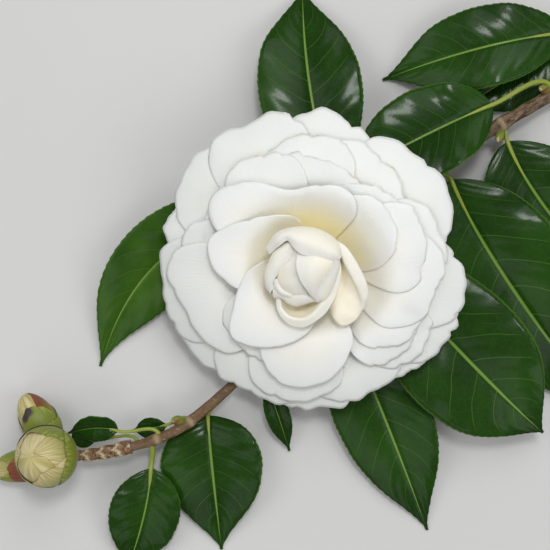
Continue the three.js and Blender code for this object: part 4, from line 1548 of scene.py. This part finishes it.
@dataclass
class Bloom:
    """The double bloom: overlapping petals from the outermost whorl in to the rolled heart."""

    foot: Point = (14.0, 6.0, 19.0)
    lean: float = 17.0          # of its axis from upright, in degrees
    lean_heading: float = 232.0
    thick: float = 0.4          # of the petals
    edge_thick: float = 0.15
    thin_from: float = 0.75     # where along a petal that begins
    base: tuple[tuple[float, float], ...] = (
        (0.5, -2), (5.5, -2), (7.5, -1), (8.2, 2), (7.4, 6), (5.8, 11), (5.2, 18), (5, 25),
        (3.5, 28.5), (0.5, 29),
    )
    # how far the base takes the petals' foot colour, cream with a painted glow
    base_tone: float = 0.5
    whorls: tuple[Whorl, ...] = WHORLS
    seeds_per_whorl: int = 100

    def __post_init__(self) -> None:
        """Works out the bloom's axis."""
        lean, heading = math.radians(self.lean), math.radians(self.lean_heading)
        level = np.array([math.cos(heading), math.sin(heading), 0.0])
        self.axis = level * math.sin(lean) + UP * math.cos(lean)
        self.turn = turn_from_up(self.axis)

    def petal_patch(self, petal: Petal | FoldedPetal, seed: int, rows: int, columns: int) -> Patch:
        """One petal as a thin shell about the bloom's axis.

        Args:
            petal: its shape.
            seed: of its unevenness.
            rows: of squares along.
            columns: of squares across.

        Returns:
            The petal in the drawing.
        """
        points = petal.surface(rows, columns, seed)
        s = np.linspace(-1, 1, columns + 1)[None, :]
        t = np.linspace(0, 1, rows + 1)[:, None]
        thick = self.thick + (self.edge_thick - self.thick) * smooth_step(self.thin_from, 1.0, t)
        chart = np.stack(np.broadcast_arrays(s, t), -1)
        thickness = np.broadcast_to(thick, points.shape[:2])
        patch = shell(points, thickness, chart, petal.cream_and_glow(points), (0, 0))
        return patch.moved(self.turn, np.array(self.foot))

    def base_patch(self) -> Patch:
        """The solid base that the petals spring from.

        Returns:
            The base in the drawing.
        """
        rings = lathe(Spline(self.base).at(np.linspace(0, 1, 40)), 28)
        base = tube(rings, np.full(rings.shape[:2], self.base_tone), (0, 0))
        return base.moved(self.turn, np.array(self.foot))

    def build(self) -> None:
        """Makes the petals, whorl by whorl, and dresses them; the first whorl carries the base."""
        for number, whorl in enumerate(self.whorls):
            seed = self.seeds_per_whorl * number
            patches = [self.petal_patch(petal, seed + k, whorl.rows, whorl.columns)
                       for k, petal in enumerate(whorl.petals)]
            if number == 0:
                patches.append(self.base_patch())
            make_piece(whorl.name, patches, [whorl.finish.make()], ("bloom",))


@dataclass(frozen=True)
class Sepal(Petal):
    """A short green scale under the bloom, in the hollow of its base."""

    SEAT: ClassVar[float] = -6.6        # its root's height
    SEAT_STEP: ClassVar[float] = 0.1    # how much lower each one lies
    RISE: ClassVar[float] = 5.6

    def bowl(self) -> Array:
        """The outline that the sepal follows.

        Returns:
            Rows of radius and height.
        """
        radius = np.linspace(self.root, max(self.rim) + 1, 160)
        part = (radius - self.root) / (max(self.rim) + 1 - self.root)
        seat = self.SEAT - self.SEAT_STEP * self.depth
        return np.stack([radius, seat + self.RISE * part**0.85], -1)


@dataclass
class Calyx:
    """The short stalk under the bloom and the green sepals that cup its base."""

    bloom: Bloom
    twig: Twig
    at: float = 0.575            # where it leaves the twig
    straight: float = 0.4        # how far its ends run straight, as a part of its reach
    overlap: float = 0.3         # of its top and the bloom's base
    radius: float = 1.9
    flare: float = 1.0           # how much wider it is at the twig
    cup: float = 4.6             # and under the bloom
    sepals: int = 6
    first_heading: float = 12    # of a sepal, in degrees
    sepal_spread: float = 36
    sepal_reach: float = 9.2
    reach_change: float = 0.5
    first_seed: int = 500

    def stalk_patch(self) -> Patch:
        """The stalk from the twig up to the bloom's base.

        Returns:
            The stalk in the drawing.
        """
        top = np.array(self.bloom.foot) + self.bloom.axis * (self.bloom.base[0][1] - self.overlap)
        root = self.twig.curve.at(self.at)
        straight = self.straight * np.linalg.norm(top - root)
        t = np.linspace(0, 1, 30)
        line = bezier([root, root + UP * straight, top - self.bloom.axis * straight, top], t)
        radii = self.radius + self.flare * np.exp(-t / 0.12) + self.cup * smooth_step(0.45, 1.0, t)
        rings = limb(line, radii, 20)
        return tube(rings, np.zeros(rings.shape[:2]), (1, 1))

    def sepal(self, number: int) -> Sepal:
        """One sepal.

        Args:
            number: its place round the calyx.

        Returns:
            Its shape.
        """
        reach = self.sepal_reach + self.reach_change * math.sin(2.3 * number)
        rim = (6.2, 7.8, reach, reach + 0.6, reach, 7.8, 6.2)
        heading = number * 360 / self.sepals + self.first_heading
        return Sepal(heading, self.sepal_spread, number, rim, lip=1.2, wave=0.15, root=2.6)

    def build(self) -> None:
        """Makes the stalk and the sepals and dresses them."""
        patches = [self.stalk_patch()]
        patches += [self.bloom.petal_patch(self.sepal(k), self.first_seed + k, 18, 24)
                    for k in range(self.sepals)]
        finishes = [ScaleFinish("sepal_scale").make(), StalkFinish("flower_stalk").make()]
        make_piece("sepal_cup", patches, finishes, ("calyx",))


# ---------------------------------------------------------------- buds
class ScaleTone(Enum):
    """The colour of one bud scale; its value is the place of its finish in the buds' list."""

    GREEN = 0
    PALE = 1
    RUDDY = 2


GREEN, PALE, RUDDY = ScaleTone


@dataclass(frozen=True)
class BudShape:
    """Where one flower bud sits, its size, and the tones of its scales from the innermost out."""

    name: str
    foot: Point
    tip: Point
    radius: float
    tones: tuple[ScaleTone, ...]
    neck: float = 0.1      # how far it stays slender, as a part of the length
    spotted: int = -1      # the scale with a dark tip
    opening: float = 0.06  # how much shorter each scale is than the one inside it, of the length


BUD_SHAPES = (
    BudShape("bud_upper", (-75.0, -59.4, 7.4), (-86.9, -41.2, 6.9), 6.6,
             (RUDDY, RUDDY, GREEN, GREEN, GREEN, GREEN), spotted=2, opening=0.12),
    BudShape("bud_front", (-72.5, -61.8, 11.8), (-80.1, -59.4, 33.9), 10.5,
             (PALE, PALE, PALE, GREEN, PALE, GREEN, RUDDY)),
    BudShape("bud_left", (-75.0, -63.0, 8.4), (-97.5, -67.6, 6.4), 5.7,
             (PALE, GREEN, GREEN, GREEN, GREEN, RUDDY)),
)


@dataclass
class FlowerBud:
    """A closed bud wrapped in overlapping scales."""

    shape: BudShape
    neck_radius: float = 1.3
    step: float = 0.1      # from one scale's face to the next one's
    thick: float = 0.17
    edge_thin: float = 0.6     # how much thinner a scale's edge is, as a part of that
    edge_lift: float = 0.1     # how far it stands off, as a part of the thickness
    clearance: float = 0.02
    wrap: float = 66.0         # half the angle that a scale wraps, in degrees
    point: tuple[float, float] = (0.38, 2.4)  # how much shorter a scale's sides are, and the power
    core: float = 0.95         # the radius under the scales, as a part of the bud's
    golden_angle: float = 137.5
    first_angle: float = 30
    tone: float = 0.55         # how brown the edges are
    spot_tone: float = 0.45    # what the dark tip adds to that

    def outline(self, t: Array) -> Array:
        """The bud's profile: an egg on a slender neck.

        Args:
            t: places along the bud, from 0 to 1.

        Returns:
            The radius at each, as a part of its greatest.
        """
        u = (t - self.shape.neck) / (1 - self.shape.neck)
        round_egg = np.sqrt(np.maximum(1 - ((u - 0.46) / 0.54) ** 2, 0))
        egg = np.where(u > 0, round_egg * (1 - 0.12 * np.maximum(u - 0.46, 0)), 0)
        neck = np.where(t < self.shape.neck * 1.5, self.neck_radius / self.shape.radius, 0)
        return np.maximum(egg, neck)

    def scale_patch(self, number: int, length: float) -> Patch:
        """One scale, its upper side out.

        Args:
            number: counted from the innermost.
            length: of the bud.

        Returns:
            The scale in the bud's own place, standing on its foot.
        """
        s = np.sin(np.linspace(math.pi / 2, -math.pi / 2, 29))[None, :]
        t = np.linspace(0, 1, 27)[:, None]
        wobble = 0.012 * np.sin(7 * s + number) + 0.008 * np.sin(15 * s + 2 * number)
        shorter, power = self.point
        reach = (1.0 - self.shape.opening * number) * (1 - shorter * np.abs(s) ** power) + wobble
        low = self.shape.neck * 0.6
        at = low + (np.minimum(reach, 0.992) - low) * np.sin(t * math.pi / 2)
        radius = self.shape.radius * self.core + self.step * (number + 2 / 3)
        lift = self.edge_lift * self.thick * smooth_step(0.75, 1.0, t) * (number > 1)
        radii = radius * self.outline(at) + lift + self.clearance
        angle = np.radians(number * self.golden_angle + self.first_angle + s * self.wrap)
        points = np.stack([radii * np.cos(angle), radii * np.sin(angle), at * length], -1)
        chart = np.stack(np.broadcast_arrays(s, t), -1)
        thick = self.thick * (1 - self.edge_thin * smooth_step(0.8, 1.0, t))
        spot = self.spot_tone * bell(s + 0.25, 0.4) * smooth_step(0.5, 0.72, t)
        tone = self.tone + spot * (number == self.shape.spotted)
        mark = self.shape.tones[number].value
        return shell(points, np.broadcast_to(thick, at.shape), chart, tone, (mark, mark))

    def patches(self) -> list[Patch]:
        """The bud's core and its scales.

        Returns:
            All of them, in the drawing.
        """
        foot, tip = np.array(self.shape.foot), np.array(self.shape.tip)
        length = float(np.linalg.norm(tip - foot))
        t = 0.5 - 0.5 * np.cos(math.pi * np.linspace(0, 0.985, 40))
        radius = self.shape.radius * self.core - self.step
        core = np.stack([self.outline(t) * radius, t * length * 0.99], -1)
        core[0] = (self.neck_radius, -0.9 * self.neck_radius)
        rings = lathe(core, 26)
        patches = [tube(rings, np.zeros(rings.shape[:2]), (PALE.value, PALE.value))]
        patches += [self.scale_patch(number, length) for number in range(len(self.shape.tones))]
        turn = turn_from_up(unit(tip - foot))
        return [patch.moved(turn, foot) for patch in patches]

    def build(self, finishes: list[Material]) -> None:
        """Makes the bud's piece, from the finishes in the order of ScaleTone."""
        name = self.shape.name
        make_piece(f"scaly_{name}", self.patches(), finishes, (name,))


@dataclass
class LeafNodeBuds:
    """The small green buds where leaves leave the twig, at some of its nodes."""

    twig: Twig
    at: tuple[float, ...] = (0.15, 0.245, 0.36, 0.5, 0.9)
    length: float = 5.0
    radius: float = 1.45
    lift: float = 4.0        # how much more they point up than along their leaf's stalk
    lean: float = 1.1        # and along the twig
    depth: float = 0.75      # where they start in the twig, as a part of its radius
    offset: float = 0.8      # along the twig from the stalk's middle
    tones: tuple[ScaleTone, ...] = (GREEN, GREEN, RUDDY)

    def shape_beside(self, leaf: LeafShape) -> BudShape:
        """The bud in the angle above a leaf's stalk.

        Args:
            leaf: the leaf.

        Returns:
            The bud's shape.
        """
        axis, along = self.twig.curve.at(leaf.at), self.twig.curve.tangent(leaf.at)
        away = np.array(leaf.base) - axis
        away = unit(away - along * (away @ along) + UP * self.lift)
        foot = axis + away * self.twig.radius(leaf.at) * self.depth + along * self.offset
        tip = foot + unit(away + along * self.lean) * self.length
        return BudShape("leaf_node_bud", tuple(foot), tuple(tip), self.radius, self.tones)

    def build(self, finishes: list[Material]) -> None:
        """Makes one bud at each node, and one piece of them all.

        Args:
            finishes: in the order of ScaleTone.
        """
        patches = []
        for leaf in (shape for shape in LEAF_SHAPES if shape.at in self.at):
            bud = FlowerBud(self.shape_beside(leaf), neck_radius=0.8, step=0.13, thick=0.12)
            patches += bud.patches()
        make_piece("axil_buds", patches, finishes, ("main_twig",))


# ---------------------------------------------------------------- studio
@dataclass(frozen=True)
class Panel:
    """A square area light that faces the branch, its heading and rise in degrees."""

    name: str
    heading: float
    rise: float
    side: float
    power: float
    distance: float = 1.25

    def hang(self) -> None:
        """Makes the light."""
        light = bpy.data.lights.new(self.name, "AREA")
        light.shape = "SQUARE"
        light.size = self.side
        light.energy = self.power
        lamp = bpy.data.objects.new(self.name, light)
        heading, rise = math.radians(self.heading), math.radians(self.rise)
        level = math.cos(rise)
        away = Vector((math.cos(heading) * level, math.sin(heading) * level, math.sin(rise)))
        lamp.location = away * self.distance
        lamp.rotation_euler = (-away).to_track_quat("-Z", "Y").to_euler()
        bpy.context.scene.collection.objects.link(lamp)


@dataclass
class Studio:
    """A plain pale floor, soft light from large panels, and the camera straight above."""

    camera_height: float = 532.6
    lens: float = 100.0
    sensor: float = 36.0
    floor_side: float = 9.0
    air_tint: Colour = (1.0, 0.99, 0.97)
    air_strength: float = 0.25
    panels: tuple[Panel, ...] = (
        Panel("key_panel", 75.0, 52.0, 0.7, 3.2), Panel("left_panel", 165.0, 50.0, 0.7, 3.0),
        Panel("low_panel", 255.0, 50.0, 0.7, 2.2), Panel("right_panel", 345.0, 50.0, 0.7, 3.2),
        Panel("small_panel", 80.0, 73.0, 0.22, 4.8),
    )

    def build(self) -> None:
        """Lays the floor, hangs the lights and sets the camera."""
        self.lay_floor()
        for panel in self.panels:
            panel.hang()
        world = bpy.data.worlds.new("studio_air")
        world.use_nodes = True
        air = world.node_tree.nodes["Background"].inputs
        air["Color"].default_value = (*self.air_tint, 1.0)
        air["Strength"].default_value = self.air_strength
        bpy.context.scene.world = world
        bpy.context.scene.view_settings.view_transform = "Standard"
        self.aim()

    def lay_floor(self) -> None:
        """Makes the floor."""
        mesh = bpy.data.meshes.new("studio_floor")
        half = self.floor_side / 2
        corners = [(-half, -half, 0), (half, -half, 0), (half, half, 0), (-half, half, 0)]
        mesh.from_pydata(corners, [], [(0, 1, 2, 3)])
        mesh.materials.append(FloorFinish("pale_floor").make())
        floor = bpy.data.objects.new("studio_floor", mesh)
        bpy.context.scene.collection.objects.link(floor)

    def aim(self) -> None:
        """Hangs the camera over the drawing's origin, looking straight down."""
        data = bpy.data.cameras.new("camera")
        data.lens = self.lens
        data.sensor_width = self.sensor
        camera = bpy.data.objects.new("camera", data)
        camera.location = place_in_frame(np.array([0.0, 0.0, self.camera_height]))
        bpy.context.scene.collection.objects.link(camera)
        bpy.context.scene.camera = camera


# ---------------------------------------------------------------- the whole branch
def build_leaves(twig: Twig) -> None:
    """Makes and dresses every leaf.

    Args:
        twig: what they grow on.
    """
    shared = [UndersideFinish("leaf_underside").make(), StalkFinish("leaf_stalk").make()]
    fresh = LeafFinish("fresh_leaf", deep=(0.015, 0.055, 0.005), fresh=(0.045, 0.12, 0.008))
    faces = {LeafTone.DEEP: LeafFinish("deep_leaf").make(), LeafTone.FRESH: fresh.make()}
    for number, shape in enumerate(LEAF_SHAPES):
        Leaf(shape, twig, seed=number).build([faces[shape.tone], *shared])


def build_buds(twig: Twig) -> None:
    """Makes and dresses the flower buds and the small buds on the twig.

    Args:
        twig: what the small buds grow on.
    """
    finishes = {
        GREEN: ScaleFinish("green_scale"),
        PALE: ScaleFinish("silky_scale", body=(0.38, 0.33, 0.10), pale=(0.58, 0.50, 0.25),
                          edge=(0.22, 0.09, 0.03), fade=(0.25, 0.72), silk=0.35),
        RUDDY: ScaleFinish("ruddy_scale", body=(0.15, 0.024, 0.008), pale=(0.24, 0.06, 0.018),
                           edge=(0.04, 0.015, 0.02), fade=(0.25, 0.65), silk=0.04),
    }
    scales = [finishes[tone].make() for tone in ScaleTone]
    for shape in BUD_SHAPES:
        FlowerBud(shape).build(scales)
    LeafNodeBuds(twig).build(scales)


def main() -> None:
    """Builds the branch around its frame."""
    logging.basicConfig(level=logging.INFO, format="%(message)s")
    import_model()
    twig = Twig()
    twig.build()
    BuddingShoot().build()
    bloom = Bloom()
    bloom.build()
    Calyx(bloom, twig).build()
    build_leaves(twig)
    build_buds(twig)
    Studio().build()


if __name__ == "__main__":
    main()
